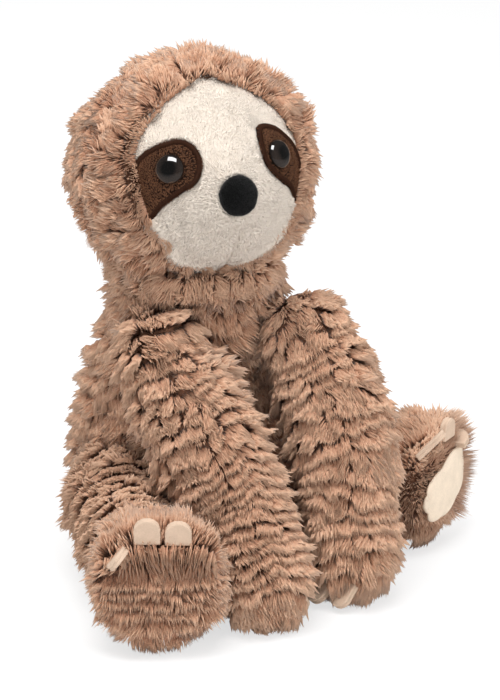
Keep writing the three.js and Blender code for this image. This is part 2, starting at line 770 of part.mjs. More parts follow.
// Claws of a foot: along its top edge, standing up, leaning or lying forwards
function footClaws(foot, facing, asides, heights, turns) {
  const a = radians(facing);
  const forward = new THREE.Vector3(Math.sin(a), -Math.cos(a), 0);
  const across = new THREE.Vector3(Math.cos(a), Math.sin(a), 0);
  return asides.map((aside, i) => {
    const way = new THREE.Vector3(aside, -footClawForward, heights[i]).normalize();
    const root = way.multiplyScalar(footRadius(way)).applyAxisAngle(zAxis, a).add(foot);
    const [lift, heading, roll] = turns[i].map((turn) => radians(turn));
    const level = forward.clone();
    level.multiplyScalar(Math.cos(heading)).addScaledVector(across, Math.sin(heading));
    const pointing = level.multiplyScalar(Math.cos(lift)).addScaledVector(zAxis, Math.sin(lift));
    const flatSide = zAxis.clone().multiplyScalar(Math.cos(roll)).addScaledVector(across, Math.sin(roll));
    return { matrix: clawPlace(root, pointing, flatSide), width: footClawWidth, length: footClawLength };
  });
}

const kneeAt = (x, y) => new THREE.Vector3(x, y, kneeZ);
const rightFoot = new THREE.Vector3(rightFootX, rightFootY, footHalfHeight);
const leftFoot = new THREE.Vector3(leftFootX, leftFootY, footHalfHeight);
const rightLegPath = [rightHip, kneeAt(rightKneeX, rightKneeY), rightFoot];
const leftLegPath = [leftHip, kneeAt(leftKneeX, leftKneeY), leftFoot];

// Sole patch: a lobed outline laid over the sole
function solePatchForm() {
  const points = [];
  const lobes = 2 * solePatchLobeShares.length;
  for (let i = 0; i < lobes * lobeStepCount; i += 1) {
    const angle = (i / (lobes * lobeStepCount)) * 2 * Math.PI;
    const step = Math.floor(i / lobeStepCount);
    const from = solePatchLobeShares[step % solePatchLobeShares.length];
    const to = solePatchLobeShares[(step + 1) % solePatchLobeShares.length];
    const share = from + (to - from) * ((i % lobeStepCount) / lobeStepCount);
    points.push(
      new THREE.Vector2(
        (solePatchLength / 2) * share * Math.cos(angle),
        (solePatchWidth / 2) * share * Math.sin(angle),
      ),
    );
  }
  const geometry = new THREE.ExtrudeGeometry(new THREE.Shape(points), {
    depth: soleForward + overrun,
    bevelEnabled: false,
  });
  geometry.translate(0, 0, soleForward - solePatchBack).rotateZ(radians(solePatchTilt)).rotateX(Math.PI / 2);
  geometry.rotateZ(radians(leftFootFacing)).translate(leftFoot.x, leftFoot.y, leftFoot.z);
  return solidOf(geometry)
    .subtract(footForm(leftFoot, leftFootFacing, gap))
    .intersect(footForm(leftFoot, leftFootFacing, gap + solePatchThickness));
}

const legAngles = (from, to) => [from, to].filter((angle) => angle !== 0);
const rightLegAngles = legAngles(0, -legOut);
const leftLegAngles = legAngles(-leftLegIn, leftLegOut);
const rightLegForm = (offset) => legForm(rightLegPath, rightFootFacing, rightLegAngles, offset);
const leftLegForm = (offset) => legForm(leftLegPath, leftFootFacing, leftLegAngles, offset);

const sloth = new THREE.Group();
sloth.add(head);
sloth.add(meshOf("neck_wad", neckWad, stuffingMaterial));
sloth.add(meshOf("body_fur", bodyFur, furMaterial));
sloth.add(meshOf("body_stuffing", bodyStuffing, stuffingMaterial));
sloth.add(meshOf("pellet_bag", pelletBag, pelletMaterial));
sloth.add(...armMeshes("arm_right", rightArmPath, rightHandFacing));
sloth.add(...armMeshes("arm_left", leftArmPath, -leftHandFacing));
sloth.add(
  ...limbMeshes(
    "leg_right",
    rightLegForm,
    stuffingHole(rightHip, hipBall, rightLegPath[1]),
    footClaws(rightFoot, rightFootFacing, rightClawAsides, rightClawHeights, rightClawDegrees),
  ),
);
sloth.add(
  ...limbMeshes(
    "leg_left",
    leftLegForm,
    stuffingHole(leftHip, hipBall, leftLegPath[1]),
    footClaws(leftFoot, leftFootFacing, leftClawAsides, leftClawHeights, leftClawDegrees),
  ),
);
sloth.add(meshOf("sole_patch", solePatchForm(), soleMaterial));

export default sloth;
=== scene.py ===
"""Plush sloth: its looks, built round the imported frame."""

import json
import math
from collections import namedtuple

import bmesh
import bpy
import numpy as np
from bpy.props import FloatProperty, FloatVectorProperty, PointerProperty
from mathutils import Matrix, Vector
from mathutils.bvhtree import BVHTree
from mathutils.kdtree import KDTree


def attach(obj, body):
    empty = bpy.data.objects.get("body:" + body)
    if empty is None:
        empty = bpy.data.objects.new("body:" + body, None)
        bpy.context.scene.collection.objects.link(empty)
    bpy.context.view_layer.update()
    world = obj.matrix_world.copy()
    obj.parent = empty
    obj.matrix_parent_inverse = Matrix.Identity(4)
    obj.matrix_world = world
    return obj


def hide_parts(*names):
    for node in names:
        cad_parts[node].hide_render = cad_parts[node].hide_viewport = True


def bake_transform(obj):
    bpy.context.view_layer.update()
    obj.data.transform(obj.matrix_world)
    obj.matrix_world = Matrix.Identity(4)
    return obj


bl_info = {
    "name": "Plush Sloth",
    "version": (1, 0, 0),
    "blender": (4, 5, 0),
    "location": "View3D > Sidebar > Sloth",
    "description": "Fur, face, claws and stage of a seated plush sloth",
    "category": "Object",
}

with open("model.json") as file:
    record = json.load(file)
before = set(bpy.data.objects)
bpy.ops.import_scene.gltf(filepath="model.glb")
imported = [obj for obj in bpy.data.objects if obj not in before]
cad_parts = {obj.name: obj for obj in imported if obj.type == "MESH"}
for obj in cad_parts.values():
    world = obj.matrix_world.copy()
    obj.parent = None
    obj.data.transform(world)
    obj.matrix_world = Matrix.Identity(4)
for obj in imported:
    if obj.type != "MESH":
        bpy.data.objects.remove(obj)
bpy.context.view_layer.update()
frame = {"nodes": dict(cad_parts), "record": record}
MM = 0.001
UP = np.array([0.0, 0.0, 1.0])

# The head's own form, as the solids have it, in millimetres and degrees
HEAD_MIDDLE = np.array([-9.5, -40.0, 197.0])
HEAD_HALF = np.array([50.0, 47.0, 45.0])
MUZZLE_RISE, MUZZLE_SPREAD, MUZZLE_DROP = 7.5, 27.0, 9.0
HEAD_TURNED, HEAD_LEANED = -5.0, -1.5

# Outlines on the face, in degrees across and up: half of the face's, and each patch's
FACE_EDGE = [
    (0, -53), (20, -47), (36, -34), (43, -21), (46, -8), (50, 5),
    (54, 20), (51, 34), (43, 50), (25, 64), (12, 69), (0, 70),
]
PATCH_EDGES = {
    "left": [
        (23.5, 31), (30, 31), (37, 28), (42, 23), (46.5, 17), (49, 9), (49.5, 1), (48, -7),
        (44, -14), (36.5, -5), (29, 0.5), (23, 5.5), (19, 12), (18.5, 19), (20, 26),
    ],
    "right": [
        (21, 26.5), (27.5, 28.4), (34, 27.3), (42, 24), (48, 19.5), (52, 13), (51.5, 4), (49, -6),
        (44, -15.5), (35.7, -6.2), (25.2, 1.8), (19.6, 5.1), (16.4, 9.8), (15.2, 16.2), (16.8, 22),
    ],
}
EYES = {"left": (30.0, 14.0), "right": (-31.5, 12.9)}
NOSE_ASIDE, NOSE_DOWN = 1.0, 0.6

# Middle lines of the arms and legs, from the joint outwards, in millimetres
LIMB_PATHS = {
    "arm_right": [(-35, -58, 116), (-25, -84, 79), (-16, -102, 50), (-13.5, -120.5, 22.5)],
    "arm_left": [(37, -62, 116), (43, -86, 79), (41, -98, 50), (37.5, -107.5, 22.5)],
    "leg_right": [(-36, -20, 35), (-55, -68, 33.5), (-68, -126.5, 33)],
    "leg_left": [(36, -20, 35), (68, -38, 33.5), (102, -54, 33)],
}
FOOT_FACING = {"leg_right": -24.0, "leg_left": 37.0}
CURVE_STEPS = 20

# The soft neck: the height of its ring's middle, the ring's radius, and how far its tube reaches out and up, in
# millimetres
NECK_HEIGHT, NECK_RADIUS, NECK_THICK, NECK_TALL = 148.5, 30.5, 4.6, 4.4

# The soft solids that one backing stands for, and those of them that are swelled
PART_NODES = {
    "body": (["body_fur", "body_stuffing", "pellet_bag"], ["body_stuffing", "pellet_bag"]),
    "head": (["head_fur", "head_stuffing", "face_panel"], ["head_stuffing", "face_panel"]),
    "arm_right": (["arm_right_fur", "arm_right_stuffing"], ["arm_right_stuffing"]),
    "arm_left": (["arm_left_fur", "arm_left_stuffing"], ["arm_left_stuffing"]),
    "leg_right": (["leg_right_fur", "leg_right_stuffing"], ["leg_right_stuffing"]),
    "leg_left": (["leg_left_fur", "leg_left_stuffing"], ["leg_left_stuffing"]),
}
SOFT_ENDINGS = ("_fur", "_stuffing", "face_panel")
SWELL, FILL = 1.2, 0.7
SOFT_VOXEL, SOFT_ROUNDS, LAST_ROUNDS = 2.2, 14, 4

MOST_LOCKS = 48000

# The map that holds a strand's tone across and the way along it upwards
BAKE_MAP = "OFBake"
MAP_EDGE, MAP_LENGTH = 0.01, 0.98


class FurSettings(bpy.types.PropertyGroup):
    """The long hair of the hood, the body and the limbs"""
    pile: FloatProperty(
        name="Pile", description="Length of the long hair",
        default=0.0105, unit="LENGTH",
    )
    hair_width: FloatProperty(
        name="Hair width", description="Width of a lock of hair at its widest",
        default=0.00051, unit="LENGTH",
    )
    density: FloatProperty(
        name="Density", description="Locks of hair to a square millimetre",
        default=2.2,
    )
    backing_depth: FloatProperty(
        name="Backing depth", description="How far the woven backing lies under the solid's surface",
        default=0.0042, unit="LENGTH",
    )
    root: FloatVectorProperty(
        name="Root", description="Colour at the roots",
        subtype="COLOR", default=(0.20, 0.095, 0.055),
    )
    middle: FloatVectorProperty(
        name="Middle", description="Colour half way",
        subtype="COLOR", default=(0.56, 0.315, 0.20),
    )
    tip: FloatVectorProperty(
        name="Tip", description="Colour of the tips",
        subtype="COLOR", default=(0.78, 0.505, 0.345),
    )


class FaceSettings(bpy.types.PropertyGroup):
    """The face, its patches, eyes and nose"""
    cloth: FloatVectorProperty(
        name="Face cloth", description="Colour of the short pile",
        subtype="COLOR", default=(0.80, 0.715, 0.625),
    )
    pile: FloatProperty(
        name="Face pile", description="Length of the short pile",
        default=0.0021, unit="LENGTH",
    )
    border: FloatVectorProperty(
        name="Patch border", description="Thread of the eye patch's edge",
        subtype="COLOR", default=(0.030, 0.010, 0.004),
    )
    thread: FloatVectorProperty(
        name="Patch thread", description="Thread of the eye patch's middle",
        subtype="COLOR", default=(0.084, 0.037, 0.019),
    )
    nose: FloatVectorProperty(
        name="Nose", description="Colour of the nose",
        subtype="COLOR", default=(0.0016, 0.0016, 0.0018),
    )
    eye: FloatVectorProperty(
        name="Eye", description="Colour of the ring round the pupil",
        subtype="COLOR", default=(0.022, 0.0155, 0.0125),
    )


class ClawSettings(bpy.types.PropertyGroup):
    """The cloth of the claws and of the sole patch"""
    claw: FloatVectorProperty(
        name="Claw", description="Colour of the claws' cloth",
        subtype="COLOR", default=(0.59, 0.44, 0.33),
    )
    sole: FloatVectorProperty(
        name="Sole patch", description="Colour of the sole patch",
        subtype="COLOR", default=(0.74, 0.62, 0.49),
    )


class StageSettings(bpy.types.PropertyGroup):
    """The floor and the light"""
    floor: FloatVectorProperty(
        name="Floor", description="Colour of the floor",
        subtype="COLOR", default=(0.9, 0.9, 0.9),
    )
    key: FloatProperty(
        name="Key lamp", description="Power of the main lamp",
        default=18.2, unit="POWER",
    )
    around: FloatProperty(
        name="Surroundings", description="Strength of the light from all sides",
        default=0.72,
    )


def fur_settings():
    return bpy.context.scene.sloth_fur


def face_settings():
    return bpy.context.scene.sloth_face


def claw_settings():
    return bpy.context.scene.sloth_claws


def unit(v):
    return v / np.maximum(np.linalg.norm(v, axis=-1, keepdims=True), 1e-12)


def smooth_step(low, high, x):
    t = np.clip((x - low) / (high - low), 0.0, 1.0)
    return t * t * (3.0 - 2.0 * t)


def bump_at(x, middle, spread):
    """A hump of height 1 at a middle, that falls off over a spread."""
    return np.exp(-((x - middle) / spread) ** 2)


def waves(p, length, seed, count=5):
    """A smooth random field over points, about -1 to 1, whose waves are about that long."""
    rng = np.random.default_rng(seed)
    total = np.zeros(len(p))
    for _ in range(count):
        way = unit(rng.normal(size=3)) * (2.0 * math.pi / (length * rng.uniform(0.7, 1.5)))
        total += np.sin(p @ way + rng.uniform(0.0, 2.0 * math.pi))
    return total / math.sqrt(count * 0.5) * 0.5


def curve_point(p0, p1, p2, p3, t):
    """A place between p1 and p2 on a smooth curve through four points."""
    return 0.5 * (
        (2 * p1) + (p2 - p0) * t
        + (2 * p0 - 5 * p1 + 4 * p2 - p3) * t * t
        + (3 * p1 - p0 - 3 * p2 + p3) * t ** 3
    )


def new_piece(name, data, material=None):
    piece = bpy.data.objects.new(name, data)
    bpy.context.collection.objects.link(piece)
    if material:
        data.materials.append(material)
    return piece


def mesh_piece(name, places, faces, material=None):
    """A piece from places in millimetres and a list of faces."""
    data = bpy.data.meshes.new(name)
    data.from_pydata((np.asarray(places) * MM).tolist(), [], faces)
    data.update()
    return new_piece(name, data, material)


def strands_piece(name, places, faces, tone, along, material):
    """Many like strands as one mesh of closed shells.

    The places are in millimetres, by strand and vertex, and the faces are one strand's.
    Tone and along are the two values of each corner on the map.
    """
    count, each = places.shape[:2]
    sizes = np.array([len(face) for face in faces])
    corners = np.concatenate([np.array(face) for face in faces])
    starts = np.concatenate([[0], np.cumsum(sizes)[:-1]])
    number = np.arange(count)[:, None]
    data = bpy.data.meshes.new(name)
    data.vertices.add(count * each)
    data.vertices.foreach_set("co", (places * MM).astype(np.float32).ravel())
    loops = (corners[None] + number * each).ravel()
    data.loops.add(len(loops))
    data.loops.foreach_set("vertex_index", loops.astype(np.int32))
    data.polygons.add(count * len(faces))
    data.polygons.foreach_set("loop_start", (starts[None] + number * len(corners)).ravel().astype(np.int32))
    data.polygons.foreach_set("loop_total", np.tile(sizes, count).astype(np.int32))
    layer = data.uv_layers.new(name=BAKE_MAP)
    layer.uv.foreach_set("vector", np.stack([tone, along], -1).astype(np.float32).ravel())
    data.update(calc_edges=True)
    smooth_faces(data)
    return new_piece(name, data, material)


def choose(piece):
    bpy.ops.object.select_all(action="DESELECT")
    piece.select_set(True)
    bpy.context.view_layer.objects.active = piece


def apply_modifier(piece, kind, **values):
    choose(piece)
    modifier = piece.modifiers.new(kind.title(), kind)
    for key, value in values.items():
        setattr(modifier, key, value)
    bpy.ops.object.modifier_apply(modifier=modifier.name)


def places_of(mesh):
    flat = np.empty(len(mesh.vertices) * 3)
    mesh.vertices.foreach_get("co", flat)
    return flat.reshape(-1, 3) / MM


def set_places(mesh, places):
    mesh.vertices.foreach_set("co", (np.asarray(places) * MM).astype(np.float32).ravel())
    mesh.update()


def normals_of(mesh):
    flat = np.empty(len(mesh.vertices) * 3, np.float32)
    mesh.vertex_normals.foreach_get("vector", flat)
    return flat.reshape(-1, 3).astype(float)


def triangles_of(mesh):
    mesh.calc_loop_triangles()
    flat = np.empty(len(mesh.loop_triangles) * 3, np.int32)
    mesh.loop_triangles.foreach_get("vertices", flat)
    return flat.reshape(-1, 3)


def smooth_faces(mesh):
    mesh.polygons.foreach_set("use_smooth", np.ones(len(mesh.polygons), bool))
    mesh.update()


def finish_piece(piece, body, replaced=()):
    if replaced:
        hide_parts(*replaced)
    if body == "neck":
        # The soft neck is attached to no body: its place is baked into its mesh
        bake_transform(piece)
    else:
        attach(piece, body)
    return piece


def new_material(name, values=None):
    """A material with one shader, whose plain values are given by name."""
    material = bpy.data.materials.new(name)
    material.use_nodes = True
    nodes = material.node_tree.nodes
    nodes.clear()
    out = nodes.new("ShaderNodeOutputMaterial")
    shader = nodes.new("ShaderNodeBsdfPrincipled")
    material.node_tree.links.new(shader.outputs[0], out.inputs[0])
    for key, value in (values or {}).items():
        shader.inputs[key].default_value = value
    return material, material.node_tree, shader


def kept_material(name):
    return bpy.data.materials.get(name)


def feed(tree, node, key, value):
    """Links an input to a socket, or sets it to a plain value."""
    if isinstance(value, bpy.types.NodeSocket):
        tree.links.new(value, node.inputs[key])
    else:
        node.inputs[key].default_value = value


def add(tree, kind, inputs=None, **values):
    node = tree.nodes.new(kind)
    for key, value in values.items():
        setattr(node, key, value)
    for key, value in (inputs or {}).items():
        feed(tree, node, key, value)
    return node


def maths(tree, operation, *values, clamp=False):
    node = tree.nodes.new("ShaderNodeMath")
    node.operation = operation
    node.use_clamp = clamp
    for i, value in enumerate(values):
        feed(tree, node, i, value)
    return node.outputs[0]


def mixed(tree, share, a, b):
    """A colour between a and b; the mix node's sockets 0, 6 and 7 are its share and its two colours."""
    node = add(tree, "ShaderNodeMix", data_type="RGBA", blend_type="MIX")
    for i, value in ((0, share), (6, a), (7, b)):
        feed(tree, node, i, value)
    return node.outputs[2]


def ramp(tree, factor, stops):
    node = add(tree, "ShaderNodeValToRGB", {"Fac": factor})
    elements = node.color_ramp.elements
    while len(elements) < len(stops):
        elements.new(0.5)
    for element, (place, colour) in zip(elements, stops):
        element.position = place
        element.color = colour
    return node.outputs[0]


def rgba(colour, scale=1.0):
    return tuple(min(c * scale, 1.0) for c in colour) + (1.0,)


def map_spot(tree):
    """The tone across and the way along a strand, as the map holds them."""
    spot = add(tree, "ShaderNodeUVMap", uv_map=BAKE_MAP).outputs[0]
    split = add(tree, "ShaderNodeSeparateXYZ", {0: spot})
    return split.outputs[0], split.outputs[1]


def head_direction(across, up):
    a, u = np.radians(across), np.radians(up)
    return np.stack([np.sin(a) * np.cos(u), -np.cos(a) * np.cos(u), np.sin(u)], -1)


def head_radius(direction):
    oval = 1.0 / np.linalg.norm(direction / HEAD_HALF, axis=-1)
    drop = math.radians(MUZZLE_DROP)
    axis = np.array([0.0, -math.cos(drop), -math.sin(drop)])
    away = np.arccos(np.clip(direction @ axis, -1, 1)) / math.radians(MUZZLE_SPREAD)
    return oval + MUZZLE_RISE * np.exp(-away * away)


HEAD_TURN = np.array(
    Matrix.Rotation(math.radians(HEAD_TURNED), 3, "Z") @ Matrix.Rotation(math.radians(HEAD_LEANED), 3, "Y")
)


def on_head(across, up, height):
    """Places at a height over the inside of the face cloth, in degrees across and up."""
    direction = head_direction(np.asarray(across, float), np.asarray(up, float))
    return HEAD_MIDDLE + (direction * (head_radius(direction) + height)[..., None]) @ HEAD_TURN.T


def degrees_to_plane(across, up):
    """Places on a plane in front of the face, from degrees across and up."""
    a = np.radians(across)
    return np.stack([np.tan(a), np.tan(np.radians(up)) / np.cos(a)], -1)


def plane_to_degrees(flat):
    across = np.arctan(flat[..., 0])
    return np.degrees(across), np.degrees(np.arctan(flat[..., 1] * np.cos(across)))


def lengths_along(line):
    """The length of a line of places up to each of them."""
    return np.r_[0, np.cumsum(np.linalg.norm(np.diff(line, axis=0), axis=1))]


def flat_outline(edge, count, mirror=False):
    """A closed smooth outline through places in degrees, as places on a plane in front of the face."""
    points = degrees_to_plane(*np.array(edge, float).T)
    if mirror:
        points = points[::-1] * (-1, 1)
    n = len(points)
    steps = 2 * CURVE_STEPS
    ring = []
    for i in range(n):
        four = [points[(i + k) % n] for k in (-1, 0, 1, 2)]
        for t in np.arange(steps) / steps:
            ring.append(curve_point(*four, t))
    closed = np.array(ring + ring[:1])
    length = lengths_along(closed)
    wanted = np.linspace(0, length[-1], count, endpoint=False)
    return np.stack([np.interp(wanted, length, closed[:, k]) for k in range(2)], -1)


def within(points, ring):
    """Which places of a plane lie inside a closed ring."""
    x, y = points[:, 0:1], points[:, 1:2]
    x1, y1 = ring[None, :, 0], ring[None, :, 1]
    x2, y2 = np.roll(ring[:, 0], -1)[None], np.roll(ring[:, 1], -1)[None]
    drop = np.where(y2 == y1, 1e-9, y2 - y1)
    crossing = ((y1 > y) != (y2 > y)) & (x < (x2 - x1) * (y - y1) / drop + x1)
    return crossing.sum(1) % 2 == 1


def cad_union(name, nodes, grown):
    """The solids of some nodes as one mesh, some of them grown by an amount in millimetres."""
    mesh = bmesh.new()
    for node in nodes:
        part = bmesh.new()
        part.from_mesh(frame["nodes"][node].data)
        bmesh.ops.remove_doubles(part, verts=part.verts, dist=1e-5)
        part.normal_update()
        by = grown.get(node, 0.0) * MM
        moved = [(v, v.co + v.normal * by) for v in part.verts]
        for v, place in moved:
            v.co = place
        data = bpy.data.meshes.new("part")
        part.to_mesh(data)
        part.free()
        mesh.from_mesh(data)
        bpy.data.meshes.remove(data)
    data = bpy.data.meshes.new(name)
    mesh.to_mesh(data)
    mesh.free()
    return new_piece(name, data)


def soft_form(name, nodes, stuffing, inset):
    """A backing: the solids' outer form, remeshed, rounded off and drawn in under the pile."""
    piece = cad_union(name, nodes, {n: SWELL for n in stuffing})
    choose(piece)
    piece.data.remesh_voxel_size = SOFT_VOXEL * MM
    piece.data.use_remesh_fix_poles = False
    bpy.ops.object.voxel_remesh()
    largest_only(piece.data)
    apply_modifier(piece, "SMOOTH", factor=0.5, iterations=SOFT_ROUNDS)
    places = places_of(piece.data) - normals_of(piece.data) * inset
    set_places(piece.data, places)
    apply_modifier(piece, "SMOOTH", factor=0.5, iterations=LAST_ROUNDS)
    smooth_faces(piece.data)
    return piece


def largest_only(data):
    """Drops every loose shell but the largest."""
    mesh = bmesh.new()
    mesh.from_mesh(data)
    left = set(mesh.verts)
    shells = []
    while left:
        stack = [left.pop()]
        shell = set(stack)
        while stack:
            for edge in stack.pop().link_edges:
                for v in edge.verts:
                    if v in left:
                        left.discard(v)
                        shell.add(v)
                        stack.append(v)
        shells.append(shell)
    shells.sort(key=len)
    bmesh.ops.delete(mesh, geom=[v for shell in shells[:-1] for v in shell], context="VERTS")
    mesh.to_mesh(data)
    mesh.free()


def scatter(mesh, density, rng):
    """Roots spread over a mesh: places, normals."""
    places, normals, tris = places_of(mesh), normals_of(mesh), triangles_of(mesh)
    a, b, c = (places[tris[:, k]] for k in range(3))
    area = 0.5 * np.linalg.norm(np.cross(b - a, c - a), axis=1)
    count = int(area.sum() * density)
    spots = (np.arange(count) + rng.uniform(0, 1, count)) / count * area.sum()
    pick = np.minimum(np.searchsorted(np.cumsum(area), spots), len(tris) - 1)
    r1, r2 = np.sqrt(rng.uniform(0, 1, count)), rng.uniform(0, 1, count)
    w = np.stack([1 - r1, r1 * (1 - r2), r1 * r2], -1)
    corners = tris[pick]
    root = sum(places[corners[:, k]] * w[:, k:k + 1] for k in range(3))
    normal = unit(sum(normals[corners[:, k]] * w[:, k:k + 1] for k in range(3)))
    return root, normal


def bvh_of(nodes):
    """The solids of some nodes, each as its box in millimetres and a tree to look near places up in."""
    trees = []
    for node in nodes:
        data = frame["nodes"][node].data
        places = places_of(data)
        faces = [tuple(face.vertices) for face in data.polygons]
        tree = BVHTree.FromPolygons([v.co.copy() for v in data.vertices], faces)
        trees.append((places.min(0), places.max(0), tree))
    return trees


def inside(points, trees, margin=0.0):
    """Which places lie inside any of the closed solids, or within a margin of them."""
    farthest = 0.03
    found = np.zeros(len(points), bool)
    for low, high, tree in trees:
        near = np.all((points > low - margin) & (points < high + margin), axis=1) & ~found
        for i in np.nonzero(near)[0]:
            place = Vector(points[i] * MM)
            spot, normal, _, distance = tree.find_nearest(place, farthest)
            if spot is not None and ((place - spot).dot(normal) < 0 or distance < margin * MM):
                found[i] = True
    return found


# A lock of hair: a point at its root, a flat bend part of the way along, a point at its tip
LOCK_FACES = [(0, 1, 2), (1, 3, 2), (0, 3, 1), (0, 2, 3)]
LOCK_BEND = 0.42
LOCK_SEED, LOCK_SPIN, MOST_SPIN = 7, 0.55, 1.1
LOCK_DEPTH = 0.35


def hair_piece(name, root, bend, tip, widths, tone, normal, material):
    """Closed locks of hair: each runs from a point at its root over a flat bend to its tip."""
    n = len(root)
    way = unit(tip - root)
    side = unit(np.cross(way, normal + 1e-6))
    spin = np.random.default_rng(LOCK_SEED).normal(0, LOCK_SPIN, n)
    spin = np.clip(spin, -MOST_SPIN, MOST_SPIN)[:, None]
    side = side * np.cos(spin) + np.cross(side, way) * np.sin(spin)
    # The bend stands off the straight line, so that no lock is flat
    straight = root + (tip - root) * LOCK_BEND
    out = bend - straight
    out = out - side * np.sum(out * side, -1, keepdims=True)
    rise = np.sum(out * np.cross(side, way), -1, keepdims=True)
    bend = bend + np.cross(side, way) * np.maximum(LOCK_DEPTH * widths[:, None] - rise, 0)
    places = np.empty((n, 4, 3))
    places[:, 0] = root
    places[:, 1] = bend + side * (widths / 2)[:, None]
    places[:, 2] = bend - side * (widths / 2)[:, None]
    places[:, 3] = tip
    corners = np.array(LOCK_FACES).ravel()
    across = np.array([0.5, 0.0, 1.0, 0.5])[corners]
    height = np.array([0.0, LOCK_BEND, LOCK_BEND, 1.0])[corners]
    u = MAP_EDGE + 0.97 * np.clip(tone, 0, 1)[:, None] + 0.008 * across[None]
    v = np.broadcast_to(MAP_EDGE + MAP_LENGTH * height[None], u.shape)
    return strands_piece(name, places, LOCK_FACES, u, v, material)


# Waves that move the rows, wide and small, and that turn the hair, in millimetres, and the small ones' share
WIDE_WAVE, SMALL_WAVE, TURN_WAVE, SMALL_SHARE = 34.0, 12.0, 22.0, 0.45


class Nap:
    """How the pile of a part lies: rows across a field in millimetres, and the way that the hair runs down it."""

    def __init__(self, field, slope, row, seed, swirl=0.25, warp=0.4):
        self.field, self.slope = field, slope
        self.row, self.seed, self.swirl, self.warp = row, seed, swirl, warp

    def phase(self, p):
        wide = waves(p, WIDE_WAVE, self.seed, 6) * self.row * self.warp
        small = waves(p, SMALL_WAVE, self.seed + 1, 6) * self.row * self.warp * SMALL_SHARE
        return (self.field(p) + wide + small) / self.row

    def way(self, p, normal):
        g = self.slope(p)
        g = unit(g - normal * np.sum(g * normal, -1, keepdims=True))
        turn = (waves(p, TURN_WAVE, self.seed + 2, 6) * self.swirl)[:, None]
        return g * np.cos(turn) + np.cross(normal, g) * np.sin(turn)


# How the hair of a coat is set and combed: locks to each one of the settings' density, millimetres between
# tufts, the share by which a tuft's hair runs together, how much tufts differ, how high the hair stands, and
# how much each row rises from its start to its fringe, which also deepens the painted shade at a row's start and
# the painted light on its fringe. Wild and tiers may be functions of the roots.
Style = namedtuple("Style", "density apart together wild lift tiers", defaults=(0.24, 0.2, 1.0, 0.0))
STYLES = {
    "body": Style(0.85, 5.0, 0.36, wild=0.95, tiers=0.5),
    "neck": Style(1.3, 4.0, wild=1.1),
    "arm": Style(1.1, 3.6, 0.15),
    "leg": Style(1.15, 3.8, 0.2, lift=0.85),
    "head": Style(1.3, 6.0, 0.58, wild=1.15, lift=1.2, tiers=1.2),
}
# A tuft is led by one of these shares of the hair late in a row, and is looked for this share of a row short of
# the fringe; part of its hair strays
LEAD_FROM, LEAD_SHARE, SHORT_OF_FRINGE, ROOT_NOISE = 0.4, 0.4, 0.25, 0.09
LOOSE_SHARE, LOOSE_PULL = 0.14, 0.04
TIP_NOISE, LOOSE_NOISE, LOOSE_RISE = 0.38, 0.6, 0.3
SPREAD, SIDE_NOISE = 0.10, 0.5
PAST_FRINGE, LEAD_HEIGHT, LEAD_PAST, LEAD_LEAN = 0.40, 0.56, 0.36, 0.5
MOST_FORWARD, LONGEST, BEND_BACK = 0.95, 1.22, 0.4


def at_roots(value, root):
    return value(root) if callable(value) else value


def spaced(points, order, gap):
    """Those of the points, taken in an order, that lie at least a gap apart."""
    grid, kept = {}, []
    steps = (-1, 0, 1)
    cells = np.floor(points / gap).astype(int)
    for i in order:
        x, y, z = cells[i]
        p = points[i]
        if any(
            (p[0] - q[0]) ** 2 + (p[1] - q[1]) ** 2 + (p[2] - q[2]) ** 2 < gap * gap
            for dx in steps for dy in steps for dz in steps for q in grid.get((x + dx, y + dy, z + dz), ())
        ):
            continue
        grid.setdefault((x, y, z), []).append(p)
        kept.append(i)
    return np.array(kept)


def tufts_of(root, way, part, to_end, row, apart, rng):
    """The hair that leads each tuft, and which tuft each hair runs to."""
    n = len(root)
    late = np.nonzero((part > LEAD_FROM) & (rng.uniform(0, 1, n) < LEAD_SHARE))[0]
    leads = spaced(root, rng.permutation(late), apart)
    tree = KDTree(len(leads))
    for k, i in enumerate(leads):
        tree.insert(root[i], k)
    tree.balance()
    ahead = root + way * np.maximum(to_end - SHORT_OF_FRINGE * row, 0)[:, None]
    ahead = ahead + rng.normal(0, apart * ROOT_NOISE, (n, 3))
    return leads, np.array([tree.find(p)[1] for p in ahead])


